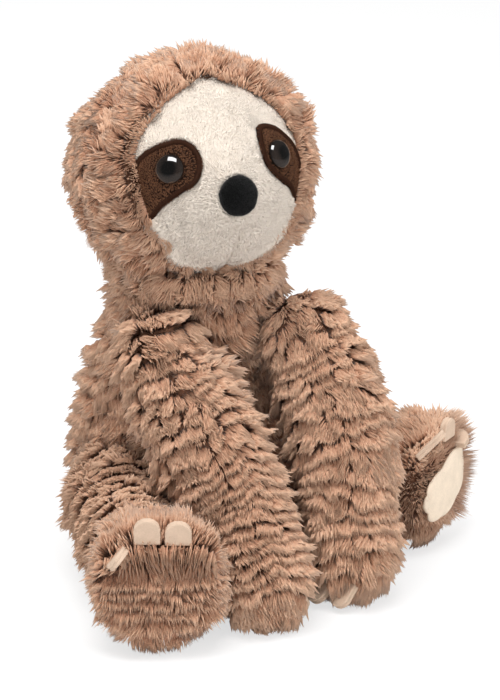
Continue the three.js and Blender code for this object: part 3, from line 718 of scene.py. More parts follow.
def comb(root, normal, nap, pile, rng, style, wild, tiers):
    """Bends and tips of the hair on roots: rows across the nap, each ending in a soft fringe of tufts.

    A tuft is a fan of hair with a lean, a rise and a reach of its own.
    """
    n = len(root)
    way = nap.way(root, normal)
    phase = nap.phase(root)
    part = phase - np.floor(phase)
    to_end = (1.0 - part) * nap.row
    leads, mine = tufts_of(root, way, part, to_end, nap.row, style.apart, rng)
    lead = leads[mine]
    mad = np.broadcast_to(np.asarray(wild, float), n)[leads]
    reach = rng.normal(1.0, 0.09 + 0.14 * mad)[mine]
    rise = rng.normal(1.0, 0.11 + 0.24 * mad)[mine]
    lean = rng.normal(0.0, 0.16 + 0.42 * mad)[mine]
    tuft_tone = rng.normal(0, 1, len(leads))[mine]
    loose = rng.uniform(0, 1, n) < LOOSE_SHARE
    across = np.cross(normal, way)
    length = rng.uniform(0.72, 1.12, n)
    # Low at a row's start and high at its fringe
    arch = 0.36 - 0.20 * tiers + (0.34 + 0.28 * tiers) * part ** (0.8 + 0.4 * tiers)
    height = pile * arch * style.lift * np.clip(rise, 0.35, 1.7) * rng.uniform(0.88, 1.12, n)
    forward = np.minimum(to_end + PAST_FRINGE * nap.row, pile * MOST_FORWARD)
    forward = forward * np.clip(reach, 0.4, 1.5) * rng.uniform(0.8, 1.12, n)
    # The hair of a tuft runs side by side and spreads a little at its tips
    from_lead = np.sum((root - root[lead]) * across, -1)
    sideways = lean * forward + from_lead * SPREAD + rng.normal(0, SIDE_NOISE, n)
    own = root + normal * height[:, None] + way * forward[:, None] + across * sideways[:, None]
    lead_tip = root[lead] + normal[lead] * (pile * LEAD_HEIGHT * style.lift * rise)[:, None]
    lead_tip += way[lead] * (((1 - part[lead]) + LEAD_PAST * reach) * nap.row)[:, None]
    lead_tip += np.cross(normal[lead], way[lead]) * (lean * pile * LEAD_LEAN)[:, None]
    pull = np.where(loose, LOOSE_PULL, style.together) * rng.uniform(0.5, 1.15, n)
    tip = own + (lead_tip - own) * pull[:, None]
    noise = rng.normal(0, TIP_NOISE, (n, 3))
    astray = rng.normal(0, LOOSE_NOISE, (n, 3)) + normal * LOOSE_RISE
    tip += noise + np.where(loose, 1.0, 0.0)[:, None] * astray
    stretch = np.linalg.norm(tip - root, axis=1)
    tip = root + (tip - root) * np.minimum(1.0, pile * LONGEST / stretch)[:, None] * length[:, None]
    arched = height * rng.uniform(0.24, 0.38, n)
    bend = root + (tip - root) * LOCK_BEND + normal * arched[:, None] - way * BEND_BACK
    return bend, tip, part, tuft_tone


def fur_material():
    material = kept_material("ribbed_fur")
    if material:
        return material
    s = fur_settings()
    material, tree, shader = new_material("ribbed_fur", {
        "Roughness": 0.65, "Specular IOR Level": 0.2, "Sheen Weight": 0.15, "Sheen Roughness": 0.5,
    })
    tone, along = map_spot(tree)
    # The tone picks between a darker and a lighter ramp: it holds random tone, and the painted shade in the
    # grooves and painted light on the fringes of the rows
    dark = ramp(tree, along, [
        (0.0, rgba(s.root, 1.0)), (0.35, rgba(s.root, 2.0)), (0.7, rgba(s.middle, 0.85)), (1.0, rgba(s.tip, 0.72)),
    ])
    light = ramp(tree, along, [
        (0.0, rgba(s.root, 1.6)), (0.3, rgba(s.middle, 0.9)), (0.65, rgba(s.tip, 0.88)), (1.0, rgba(s.tip, 1.12)),
    ])
    tree.links.new(mixed(tree, tone, dark, light), shader.inputs["Base Color"])
    return material


def backing_material():
    material = kept_material("fur_backing")
    if material:
        return material
    s = fur_settings()
    material, tree, shader = new_material("fur_backing", {"Roughness": 0.95})
    place = add(tree, "ShaderNodeTexCoord").outputs["Object"]
    noise = add(tree, "ShaderNodeTexNoise", {"Vector": place, "Scale": 260.0, "Detail": 3.0})
    weave = add(tree, "ShaderNodeTexVoronoi", {"Vector": place, "Scale": 1100.0})
    colour = ramp(tree, noise.outputs[0], [(0.3, rgba(s.root, 0.55)), (0.7, rgba(s.root, 1.35))])
    tree.links.new(colour, shader.inputs["Base Color"])
    bump = {"Height": weave.outputs["Distance"], "Strength": 0.5, "Distance": 0.0004}
    tree.links.new(add(tree, "ShaderNodeBump", bump).outputs[0], shader.inputs["Normal"])
    return material


def limb_line(part):
    """A limb's middle line as many points, the length up to each, and its way at each."""
    path = np.array(LIMB_PATHS[part], float)
    ends = np.r_[2 * path[:1] - path[1:2], path, 2 * path[-1:] - path[-2:-1]]
    line = []
    for i in range(1, len(ends) - 2):
        for t in np.arange(CURVE_STEPS) / CURVE_STEPS:
            line.append(curve_point(*ends[i - 1:i + 3], t))
    line.append(path[-1])
    line = np.array(line)
    return line, lengths_along(line), unit(np.gradient(line, axis=0))


def limb_nap(part, row, seed, swirl, warp):
    """Rows round a limb, from its joint outwards."""
    line, length, tangent = limb_line(part)

    def nearest(p):
        gap = np.linalg.norm(p[:, None] - line[None], axis=2)
        return gap.argmin(1)

    def field(p):
        i = nearest(p)
        return length[i] + np.sum((p - line[i]) * tangent[i], -1)

    def slope(p):
        i = nearest(p)
        way = tangent[i]
        along = np.sum((p - line[i]) * way, -1, keepdims=True)
        out = unit((p - line[i]) - way * along)
        # Past the end the hair closes over the tip
        past = smooth_step(length[-1] - 2, length[-1] + 14, length[i] + along[:, 0])[:, None]
        return way - out * past * 0.3

    return Nap(field, slope, row, seed, swirl, warp)


# The tone of a lock: its middle, and how far the tuft, the lock and the place change it
TONE, TUFT_TONE, LOCK_TONE, PLACE_TONE = 0.44, 0.06, 0.13, 0.10
# Painted light and shade across a row: how much lighter its fringe is, and on shaded parts how much darker its
# start under the fringe before it and how much its fringe is lifted back
FRINGE_LIGHT, SHADE_LIFT, SHADE = 0.26, 0.42, 0.44
FLOOR_GAP, BEND_FLOOR, MOST_SPREAD = 0.35, 0.9, 3.0
ROOT_DEPTH = 0.4


def over_floor(normal, bend, tip, rng):
    """Hair that would pass through the floor spreads out over it."""
    floor = FLOOR_GAP + rng.uniform(0, 0.9, len(tip))
    under = np.maximum(floor - tip[:, 2], 0)
    sideways = unit(normal * (1, 1, 0) + 1e-6)
    tip += sideways * np.minimum(under * 0.7, MOST_SPREAD)[:, None]
    tip[:, 2] = np.maximum(tip[:, 2], floor)
    bend[:, 2] = np.maximum(bend[:, 2], BEND_FLOOR)


def grow(skin, nap, share, seed, keep, style, shaded=None, length_at=None, shape=None):
    """The hair of one skin where keep(root, normal) says so: roots, bends, tips, widths, tones and normals.

    Share is the coat's part of the set length of hair.
    """
    s = fur_settings()
    rng = np.random.default_rng(seed)
    quick = 1.0
    root, normal = scatter(skin.data, s.density * style.density * quick, rng)
    wanted = keep(root, normal)
    root, normal = root[wanted], normal[wanted]
    tiers, wild = at_roots(style.tiers, root), at_roots(style.wild, root)
    longer = length_at(root) if length_at else 1.0
    pile = s.pile / MM * share * (1 + 0.12 * waves(root, 26.0, seed + 3)) * longer
    bend, tip, part, tuft_tone = comb(root, normal, nap, pile, rng, style, wild, tiers)
    if shape:
        bend, tip = shape(root, normal, bend, tip, rng)
    over_floor(normal, bend, tip, rng)
    tone = TONE + TUFT_TONE * tuft_tone + LOCK_TONE * rng.normal(0, 1, len(root))
    tone += PLACE_TONE * waves(root, 40.0, seed + 5)
    # Painted shade in the groove at a row's start and painted light on its fringe, stronger where the tiers are
    # deeper
    tone += (FRINGE_LIGHT + 0.1 * tiers) * smooth_step(0.0, 0.5 + 0.3 * tiers, part) - 0.08 * tiers
    if shaded:
        # Under a tier's fringe the hair of the next is in its shade
        tone += at_roots(shaded, root) * (SHADE_LIFT * smooth_step(0.35, 0.95, part) - SHADE)
    widths = s.hair_width / MM * rng.uniform(0.6, 1.35, len(root)) * 1.0
    return root - normal * ROOT_DEPTH, bend, tip, widths, tone, normal


def coat(name, hair, body, material=None):
    """The hair of one part as pieces, each a slice round the part, none over the most locks of a piece."""
    root = hair[0]
    count = max(1, math.ceil(len(root) / MOST_LOCKS))
    middle = root.mean(0)
    turn = np.arctan2(root[:, 0] - middle[0], -(root[:, 1] - middle[1]))
    order = np.argsort(turn, kind="stable")
    for k, chosen in enumerate(np.array_split(order, count)):
        label = name if count == 1 else f"{name}_{k + 1}"
        piece = hair_piece(label, *(part[chosen] for part in hair), material or fur_material())
        finish_piece(piece, body)
    print("COAT", name, len(root), "locks in", count)


def others(own):
    """The soft solids of the bodies that a part doesn't belong to."""
    bodies = frame["record"]["behaviour"]["bodies"]
    return bvh_of([n for b, names in bodies.items() if b != own for n in names if n.endswith(SOFT_ENDINGS)])


def padded_skin(part, body, replaced):
    nodes, stuffing = PART_NODES[part]
    skin = soft_form(part + "_backing", nodes, stuffing, fur_settings().backing_depth / MM)
    skin.data.materials.append(backing_material())
    finish_piece(skin, body, replaced)
    return skin


# How far over its skin a root is tried for a neighbour's solid, for a claw and for the sole patch
NEIGHBOUR_TRY, CLAW_TRY, PATCH_TRY, PATCH_MARGIN = 1.5, 3.0, 4.0, 0.5


# Hair is left off this close to the floor and on faces that look down more than this
BODY_OFF_FLOOR, BODY_DOWN = 3.0, -0.9
FOOT_OFF_FLOOR, FOOT_DOWN = 2.5, -0.93
BODY_ROW, NECK_ROW = 8.8, 7.0
NECK_AROUND, NECK_ROUND = 64, 12


def build_body():
    skin = padded_skin("body", "torso", ["body_fur", "body_stuffing", "pellet_bag"])
    blocked = others("torso")
    nap = Nap(lambda p: -p[:, 2], lambda p: np.broadcast_to(-UP, p.shape), BODY_ROW, 11, 0.5, 0.6)

    def keep(root, normal):
        off_floor = (root[:, 2] > BODY_OFF_FLOOR) & (normal[:, 2] > BODY_DOWN)
        return off_floor & ~inside(root + normal * NEIGHBOUR_TRY, blocked)

    def length_at(root):
        """Longer on the chest."""
        return 1 + 0.25 * smooth_step(60.0, 100.0, root[:, 2]) * smooth_step(0.0, -50.0, root[:, 1])

    hair = grow(skin, nap, 1.0, 21, keep, STYLES["body"], length_at=length_at)
    coat("body_coat", hair, "torso")


def build_neck():
    """A furred ring of wadding in the gap between the hood and the body."""
    middle = np.array([HEAD_MIDDLE[0], HEAD_MIDDLE[1], NECK_HEIGHT])
    ring, round_ring = NECK_AROUND, NECK_ROUND
    places, faces = [], []
    for i in range(ring):
        a = 2 * math.pi * i / ring
        out = np.array([math.cos(a), math.sin(a), 0.0])
        for j in range(round_ring):
            b = 2 * math.pi * j / round_ring
            places.append(middle + out * (NECK_RADIUS + NECK_THICK * math.cos(b)) + UP * NECK_TALL * math.sin(b))
            k, m = (i + 1) % ring, (j + 1) % round_ring
            faces.append((i * round_ring + j, k * round_ring + j, k * round_ring + m, i * round_ring + m))
    skin = mesh_piece("neck_ring", places, faces, backing_material())
    smooth_faces(skin.data)
    finish_piece(skin, "neck", ["neck_wad"])

    def outwards(p):
        return unit((p - middle) * (1, 1, 0))

    nap = Nap(lambda p: -p[:, 2], lambda p: unit(outwards(p) * 0.9 - UP), NECK_ROW, 91, swirl=0.5)

    def keep(root, normal):
        return np.sum(normal * outwards(root), -1) > -0.2

    coat("neck_coat", grow(skin, nap, 0.78, 93, keep, STYLES["neck"]), "neck")


# By arm: millimetres from row to row, seeds of rows and hair, how much closer the rows lie towards the hand,
# and how much longer the hair is at the shoulder
ARM_ROWS = {"right": (7.2, 31, 41, 0.35, 0.10), "left": (8.6, 37, 43, 0.0, -0.16)}
ARM_CLOSER_FROM = 62.0


def build_arm(side):
    part = "arm_" + side
    skin = padded_skin(part, part, [part + "_fur", part + "_stuffing"])
    blocked = others(part)
    claws = bvh_of([f"{part}_claw_{k}" for k in (1, 2, 3)])
    row, row_seed, hair_seed, closer, longer = ARM_ROWS[side]
    tube = limb_nap(part, row, row_seed, 0.3, 0.62)
    end = limb_line(part)[1][-1]

    def field(p):
        along = tube.field(p)
        return along + closer * np.maximum(along - ARM_CLOSER_FROM, 0)

    nap = Nap(field, tube.slope, row, row_seed, tube.swirl, tube.warp)

    def keep(root, normal):
        over = root + normal * NEIGHBOUR_TRY
        return ~inside(over, blocked) & ~inside(over, claws)

    def wild(root):
        return 0.22 + 0.6 * smooth_step(66.0, 20.0, tube.field(root))

    def length_at(root):
        along = tube.field(root)
        return 1 + longer * smooth_step(40.0, 0.0, along) + 0.3 * smooth_step(end - 22.0, end - 6.0, along)

    hair = grow(skin, nap, 0.95, hair_seed, keep, STYLES["arm"]._replace(wild=wild), length_at=length_at)
    coat(part + "_coat", hair, part)


def sole_frame():
    """The sole patch's middle, its ways along, across and out, a fit of its outer face, and its half sizes."""
    places = places_of(frame["nodes"]["sole_patch"].data)
    middle = places.mean(0)
    _, _, axes = np.linalg.svd(places - middle, full_matrices=False)
    facing = math.radians(FOOT_FACING["leg_left"])
    out = axes[2] * np.sign(axes[2] @ (math.sin(facing), -math.cos(facing), 0.0))
    long_way, short_way = axes[0], np.cross(out, axes[0])
    u, v, h = (places - middle) @ long_way, (places - middle) @ short_way, (places - middle) @ out
    middle = middle + long_way * (u.max() + u.min()) / 2 + short_way * (v.max() + v.min()) / 2
    u, v = u - (u.max() + u.min()) / 2, v - (v.max() + v.min()) / 2
    fit = np.linalg.lstsq(curved_terms(u, v), h, rcond=None)[0]
    return middle, long_way, short_way, out, fit, u.max() * 1.05, v.max() * 1.05


def curved_terms(u, v):
    """The terms of a gently curved face over a plane."""
    return np.stack([u * 0 + 1, u, v, u * u, u * v, v * v], -1)


# The hair of the feet parts over the claws, this many degrees above level, and lies in rows from there:
# the depth of the first row, of the others, and of the legs' rows, and the foot's radius, in millimetres
FOOT_PARTING = 58.0
FIRST_ROW, FOOT_ROW, LEG_ROW, FOOT_RADIUS = 21.0, 11.5, 8.6, 33.0
FOOT_FROM, FOOT_TO = 36.0, 29.0
LEG_SEEDS = {"right": 61, "left": 63}
STAND_TALL = {"right": 1.0, "left": 0.65}


class Foot:
    """A leg and its foot: where the hair parts over the claws, and which way it falls."""

    def __init__(self, part):
        a = math.radians(FOOT_FACING[part])
        self.middle = np.array(LIMB_PATHS[part][-1], float)
        self.ahead = np.array([math.sin(a), -math.cos(a), 0.0])
        self.tube = limb_nap(part, 7.6, 51, 0.4, 0.55)
        self.end = limb_line(part)[1][-1]

    def rise_of(self, p):
        """Degrees above level round the foot's cross line, the way they grow, and how near that line is."""
        d = p - self.middle
        level, high = d @ self.ahead, d[:, 2]
        upwards = unit(-self.ahead * high[:, None] + UP * level[:, None])
        rise = np.degrees(np.arctan2(high, level))
        return np.where(rise < -130, rise + 360, rise), upwards, smooth_step(17.0, 9.0, np.hypot(level, high))

    def share(self, p):
        """1 on the foot, 0 on the leg."""
        return smooth_step(self.end - FOOT_FROM, self.end - FOOT_TO, self.tube.field(p))

    def gap_of(self, p):
        """Millimetres from the parting, above it and below it."""
        return (self.rise_of(p)[0] - FOOT_PARTING) * math.radians(1) * FOOT_RADIUS

    def field(self, p):
        far = np.abs(self.gap_of(p))
        rows = np.where(far < FIRST_ROW, far / FIRST_ROW, 1 + (far - FIRST_ROW) / FOOT_ROW) * LEG_ROW
        return np.where(self.share(p) > 0.5, rows, self.tube.field(p) * LEG_ROW / 8.0)

    def slope(self, p):
        _, upwards, by_side = self.rise_of(p)
        down = smooth_step(0.6, -0.6, self.gap_of(p))
        w = self.share(p)[:, None]
        falls = upwards * (1 - 2 * down)[:, None]
        falls += (-UP - self.ahead * 0.3 - falls) * by_side[:, None]
        return (self.tube.slope(p) - UP * 0.2) * (1 - w) + falls * w


def stand_at_parting(foot, falls, tall, root, normal, bend, tip, rng):
    """At the parting the hair stands up before it falls to either side, and hides the roots of the claws."""
    gap = foot.gap_of(root)
    near = foot.share(root) * smooth_step(9.0, 3.0, np.where(gap > 0, gap * 0.8, -gap))
    near = near * (1 - foot.rise_of(root)[2])
    n = len(root)
    below = (gap < 0)[:, None]
    high = tall * rng.uniform(8.0, 10.5, n)[:, None]
    stand = root + normal * high * 0.85 + UP * tall * rng.uniform(3.6, 6.6, (n, 1))
    over = stand + falls * rng.uniform(1.5, 8.5, (n, 1)) * (0.4 + 0.6 * below)
    over = over - UP * rng.uniform(0.0, 2.5, (n, 1)) * below
    near = near[:, None]
    return bend + (stand - bend) * near * 0.9, tip + (over - tip) * near


def stand_round_sole(foot, root, normal, bend, tip, rng):
    """Round the sole patch the hair stands back from its edge, and leans out round the sole on its far side."""
    n = len(root)
    middle, long_way, short_way, _, _, half_u, half_v = sole_frame()
    away = root - middle
    u, v = away @ long_way, away @ short_way
    share = np.hypot(u / half_u, v / half_v)
    by = (smooth_step(1.7, 1.2, share) * (normal @ foot.ahead > 0.2))[:, None]
    out = unit(u[:, None] * long_way + v[:, None] * short_way)
    upright = smooth_step(-11.0, -6.0, foot.gap_of(root))[:, None]
    back = root + normal * rng.uniform(3.0, 5.5, (n, 1)) + out * rng.uniform(0.5, 5.0, (n, 1))
    back += (root + normal * 5.0 + UP * rng.uniform(4.0, 8.5, (n, 1)) - back) * upright
    tip = tip + (back - tip) * by
    bend = bend + (root + (back - root) * 0.45 + normal * 0.8 - bend) * by
    far_side = np.array([-foot.ahead[1], foot.ahead[0], 0.0])
    rim = foot.share(root) * smooth_step(0.05, 0.6, normal @ far_side) * smooth_step(-0.9, -0.3, normal[:, 2])
    rim = rim[:, None]
    tip = tip + (foot.ahead * rng.uniform(4.0, 9.0, (n, 1)) + normal * 2.0) * rim
    return bend + foot.ahead * 2.0 * rim, tip


def build_leg(side):
    part = "leg_" + side
    skin = padded_skin(part, part, [part + "_fur", part + "_stuffing"])
    blocked = others(part)
    claws = bvh_of([f"{part}_claw_{k}" for k in (1, 2, 3)])
    patch = bvh_of(["sole_patch"] if side == "left" else [])
    foot = Foot(part)
    nap = Nap(foot.field, foot.slope, LEG_ROW, 57, 0.3, 0.32)
    sole_rim = np.array([0.899, -0.438, 0.0])

    def keep(root, normal):
        on_top = (normal[:, 2] > FOOT_DOWN) & (root[:, 2] > FOOT_OFF_FLOOR)
        free = ~inside(root + normal * NEIGHBOUR_TRY, blocked) & ~inside(root + normal * CLAW_TRY, claws)
        return on_top & free & ~inside(root + normal * PATCH_TRY, patch, PATCH_MARGIN)

    def length_at(root):
        on_foot = foot.share(root)
        rim = smooth_step(0.1, 0.8, unit(root - foot.middle) @ sole_rim) * on_foot if side == "left" else 0.0
        hip = smooth_step(40.0, 10.0, foot.tube.field(root)) if side == "right" else 0.0
        low = smooth_step(20.0, 5.0, root[:, 2]) * on_foot
        return 1 + 0.25 * on_foot + 0.2 * rim + 0.25 * hip - 0.4 * low

    def shape(root, normal, bend, tip, rng):
        falls = nap.way(root, normal)
        bend, tip = stand_at_parting(foot, falls, STAND_TALL[side], root, normal, bend, tip, rng)
        if side == "left":
            bend, tip = stand_round_sole(foot, root, normal, bend, tip, rng)
        return bend, tip

    # Painted shade on the tiers of the foot below the parting
    def shaded(root):
        return foot.share(root) * smooth_step(0.0, -6.0, foot.gap_of(root))

    style = STYLES["leg"]._replace(
        wild=lambda root: 0.8 - 0.62 * foot.share(root),
        tiers=lambda root: 0.4 + 1.1 * foot.share(root),
    )
    hair = grow(skin, nap, 0.9, LEG_SEEDS[side], keep, style, shaded, length_at, shape)
    coat(part + "_coat", hair, part)


# The low right corner of the face, on the plane before it, lies under the hood: where, how wide, how much
# of the outline it takes, and where the short pile is left off
COVERED, COVERED_SPREAD, COVERED_BY = (-0.86, -0.62), (0.22, 0.2), 0.11
BARE, BARE_RADIUS, BARE_FROM = (-0.80, -0.62), 0.3, 0.97
HOOD_GROWTH, FACE_GROWTH = 0.985, 1.03


def hump(u, v, middle, spread):
    """A hump of height 1 on a plane."""
    return np.exp(-((u - middle[0]) / spread[0]) ** 2 - ((v - middle[1]) / spread[1]) ** 2)


def face_outline(count, growth=1.0):
    both = FACE_EDGE + [(-a, u) for a, u in FACE_EDGE[-2:0:-1]]
    ring = flat_outline(both, count)
    middle = ring.mean(0)
    covered = hump(ring[:, 0], ring[:, 1], COVERED, COVERED_SPREAD)
    return middle + (ring - middle) * (growth - COVERED_BY * covered)[:, None]


def face_place(p):
    """Places as seen from the head's middle on the plane in front of the face, and whether they lie before it."""
    local = (p - HEAD_MIDDLE) @ HEAD_TURN
    front = local[:, 1] < -1.0
    depth = np.where(front, -local[:, 1], 1.0)
    return local[:, [0, 2]] / depth[:, None], front


def edge_share(flat):
    """How far places on the plane before the face lie from its middle, as a share of the way to its edge."""
    ring = face_outline(240)
    middle = ring.mean(0)
    turn = np.arctan2(*(ring - middle).T[::-1])
    order = np.argsort(turn)
    far = np.linalg.norm(ring - middle, axis=1)
    wanted = np.arctan2(*(flat - middle).T[::-1])
    return np.linalg.norm(flat - middle, axis=1) / np.interp(wanted, turn[order], far[order], period=2 * math.pi)


# Rows on the hood are counted in millimetres on a ball of this radius, lie this far apart and get this much
# painted shade under each fringe; the face looks a little upwards
HOOD_RADIUS, HOOD_ROW, HOOD_SHADE = 54.0, 10.0, 0.55
FACE_WAY = (0.0, -0.98, 0.12)
THIN_CORNER = (-0.80, 0.38, 0.52)


class Hood:
    """The hood round the face: its rows, and the way its hair runs."""

    def __init__(self):
        self.ring = face_outline(120, HOOD_GROWTH)
        self.facing = HEAD_TURN @ np.array(FACE_WAY)

    def on_face(self, p):
        flat, front = face_place(p)
        return front & within(flat, self.ring)

    def off_face(self, p):
        """The way over the hood that leads from the face."""
        d = unit(p - HEAD_MIDDLE)
        return unit(d * (d @ self.facing)[:, None] - self.facing)

    def slope(self, p):
        """Away from the face, and down behind."""
        w = smooth_step(-0.45, 0.35, unit(p - HEAD_MIDDLE) @ self.facing)[:, None]
        return self.off_face(p) * w - UP * (1 - w) - UP * 0.25

    def field(self, p):
        d = unit(p - HEAD_MIDDLE)
        toward = d @ self.facing
        w = smooth_step(-0.45, 0.2, toward)
        return HOOD_RADIUS * (np.arccos(np.clip(toward, -1, 1)) * w - d[:, 2] * (1 - w))


def stand_by_face(hood, root, normal, bend, tip, rng):
    """By the face the hair stands up from the seam."""
    flat, front = face_place(root)
    near = (front * smooth_step(1.26, 1.06, edge_share(flat)))[:, None]
    n = len(root)
    off = hood.off_face(root)
    tuft, other = waves(root, 8.0, 75)[:, None], waves(root, 8.0, 76)[:, None]
    stand = root + normal * (rng.uniform(5.5, 8.5, (n, 1)) + 1.4 * other)
    stand = stand + off * (0.8 + 3.0 * tuft + rng.uniform(-1.2, 1.0, (n, 1)))
    stand += np.cross(normal, off) * 3.0 * other
    tip = tip + (stand - tip) * near
    bend = bend + (root + normal * 3.6 - off * 0.4 - bend) * near
    over = hood.on_face(tip)[:, None]
    return bend, np.where(over, tip + off * rng.uniform(0.0, 1.2, (n, 1)), tip)


def build_head():
    skin = padded_skin("head", "head", ["head_fur", "head_stuffing"])
    blocked = others("head")
    hood = Hood()
    nap = Nap(hood.field, hood.slope, HOOD_ROW, 71, 0.8, 0.8)

    def keep(root, normal):
        return ~hood.on_face(root) & ~inside(root + normal * NEIGHBOUR_TRY, blocked)

    def length_at(root):
        """Shorter on the far upper corner, longer low down."""
        corner = smooth_step(0.3, 0.9, unit(root - HEAD_MIDDLE) @ unit(np.array(THIN_CORNER)))
        return 0.95 - 0.16 * corner + 0.25 * smooth_step(170.0, 158.0, root[:, 2])

    def shape(root, normal, bend, tip, rng):
        return stand_by_face(hood, root, normal, bend, tip, rng)

    hair = grow(skin, nap, 0.88, 81, keep, STYLES["head"], HOOD_SHADE, length_at, shape)
    coat("head_coat", hair, "head")


def face_piece(name, outline, heights, rings, material, replaced):
    """A closed cloth laid on the head inside an outline.

    Its outside and its inside follow the two heights that heights(across, up, share) gives.
    """
    count = len(outline)
    middle = outline.mean(0)
    shares = np.linspace(0, 1, rings + 1)[1:] ** 0.9
    flat = middle + (outline - middle)[None] * shares[:, None, None]
    flat = np.concatenate([middle[None], flat.reshape(-1, 2)])
    share = np.concatenate([[0.0], np.repeat(shares, count)])
    across, up = plane_to_degrees(flat)
    top, under = heights(across, up, share)
    outer = on_head(across, up, top)
    inner = on_head(across, up, under)
    faces = []
    for i in range(count):
        k = (i + 1) % count
        faces.append((0, 1 + i, 1 + k))
        for r in range(rings - 1):
            a, b = 1 + r * count, 1 + (r + 1) * count
            faces.append((a + i, b + i, b + k, a + k))
    total = len(outer)
    last = 1 + (rings - 1) * count
    inner_faces = [tuple(v + total for v in reversed(f)) for f in faces]
    edge = []
    for i in range(count):
        k = (i + 1) % count
        edge.append((last + i, last + i + total, last + k + total, last + k))
    piece = mesh_piece(name, np.concatenate([outer, inner]), faces + inner_faces + edge, material)
    mesh = bmesh.new()
    mesh.from_mesh(piece.data)
    bmesh.ops.recalc_face_normals(mesh, faces=mesh.faces)
    mesh.to_mesh(piece.data)
    mesh.free()
    smooth_faces(piece.data)
    return finish_piece(piece, "head", replaced)


# The stuffed face: its height over the inside of its cloth, in millimetres, and what changes it, each with its
# depth, its place and its spread in degrees across and up
FACE_HEIGHT, JOWL, CHEEK = 1.9, 3.4, 1.8
CHIN_ACROSS, CHIN_SEAM, CHIN_DIP = 3.0, (1.9, 1.5), (0.7, 7.0)
EYE_DENT, BROW_DENT = (0.8, (12.0, 8.0), (5.0, 13.0)), (0.6, (30.0, 33.0), (16.0, 3.2))
NOSE_DIP = (0.7, (0.0, -12.0), (7.0, 3.5))


def cloth_height(across, up):
    """How the stuffed face stands over the inside of its cloth: puffed cheeks, a chin seam, dents by the eyes."""
    seam = smooth_step(-14, -20, up) * bump_at(across, CHIN_ACROSS, CHIN_SEAM[1]) * CHIN_SEAM[0]
    chin = smooth_step(-14, -26, up) * bump_at(across, CHIN_ACROSS, CHIN_DIP[1]) * CHIN_DIP[0]
    dents = np.zeros_like(across)
    for sign in (1, -1):
        for depth, (aside, above), spread in (EYE_DENT, BROW_DENT):
            dents += depth * hump(across, up, (sign * aside, above), spread)
    depth, place, spread = NOSE_DIP
    under_nose = depth * hump(across, up, place, spread)
    places = np.stack([across, up, across * 0], -1)
    rough = waves(places, 16.0, 5) * 0.16 + waves(places, 7.0, 6) * 0.04
    cheeks = smooth_step(28.0, 42.0, np.abs(across)) * smooth_step(2.0, -18.0, up)
    jowl = JOWL * smooth_step(-16.0, -40.0, up) + CHEEK * cheeks
    return FACE_HEIGHT - seam - chin - dents - under_nose + rough + jowl


def pile_material(name, colour, dark=0.93):
    material, tree, shader = new_material(name, {
        "Roughness": 0.8, "Specular IOR Level": 0.15, "Sheen Weight": 0.2,
    })
    tone, along = map_spot(tree)
    low = mixed(tree, tone, rgba(colour, dark * 0.94), rgba(colour, dark))
    high = mixed(tree, tone, rgba(colour, 0.96), rgba(colour, 1.05))
    tree.links.new(mixed(tree, along, low, high), shader.inputs["Base Color"])
    return material


def cloth_material(name, colour, scale=900.0, depth=0.0003, spread=0.12, roughness=0.9):
    """Short brushed or woven cloth, by the place on the piece."""
    material, tree, shader = new_material(name, {"Roughness": roughness, "Specular IOR Level": 0.2})
    place = add(tree, "ShaderNodeTexCoord").outputs["Object"]
    wide = add(tree, "ShaderNodeTexNoise", {"Vector": place, "Scale": scale * 0.12, "Detail": 3.0})
    fine = add(tree, "ShaderNodeTexNoise", {"Vector": place, "Scale": scale, "Detail": 4.0, "Roughness": 0.65})
    halves = [maths(tree, "MULTIPLY", noise.outputs[0], 0.5) for noise in (wide, fine)]
    darkest, lightest = rgba(colour, 1.0 - spread * 1.6), rgba(colour, 1.0 + spread * 0.6)
    colours = ramp(tree, maths(tree, "ADD", *halves), [(0.3, darkest), (0.7, lightest)])
    tree.links.new(colours, shader.inputs["Base Color"])
    bump = add(tree, "ShaderNodeBump", {"Height": fine.outputs[0], "Strength": 0.6, "Distance": depth})
    tree.links.new(bump.outputs[0], shader.inputs["Normal"])
    return material


# The short pile: its locks to a square millimetre, the room it leaves for the nose, in degrees, and its lean
FACE_PILE_DENSITY, FACE_RINGS = 7.0, 56
NOSE_ROOM, NOSE_ROOM_MIDDLE = 9.2, (1.2, -0.7)


def face_roots(cloth, rng):
    """Roots of the short pile on the cloth's outside, clear of the nose, the patches and the covered corner."""
    share = 1.0
    root, normal = scatter(cloth.data, FACE_PILE_DENSITY * share, rng)
    local = (root - HEAD_MIDDLE) @ HEAD_TURN
    direction = unit(local)
    across = np.degrees(np.arctan2(direction[:, 0], -direction[:, 1]))
    up = np.degrees(np.arcsin(direction[:, 2]))
    outside = np.linalg.norm(local, axis=1) > head_radius(direction) + 0.2
    flat = degrees_to_plane(across, up)
    nose_across, nose_up = NOSE_ROOM_MIDDLE
    clear = outside & (np.hypot(across - nose_across, up - nose_up) > NOSE_ROOM)
    for side, edge in PATCH_EDGES.items():
        clear &= ~within(flat, flat_outline(edge, 60, side == "right"))
    clear &= (edge_share(flat) < BARE_FROM) | (np.linalg.norm(flat - BARE, axis=1) > BARE_RADIUS)
    return root[clear], normal[clear], flat[clear], up[clear]


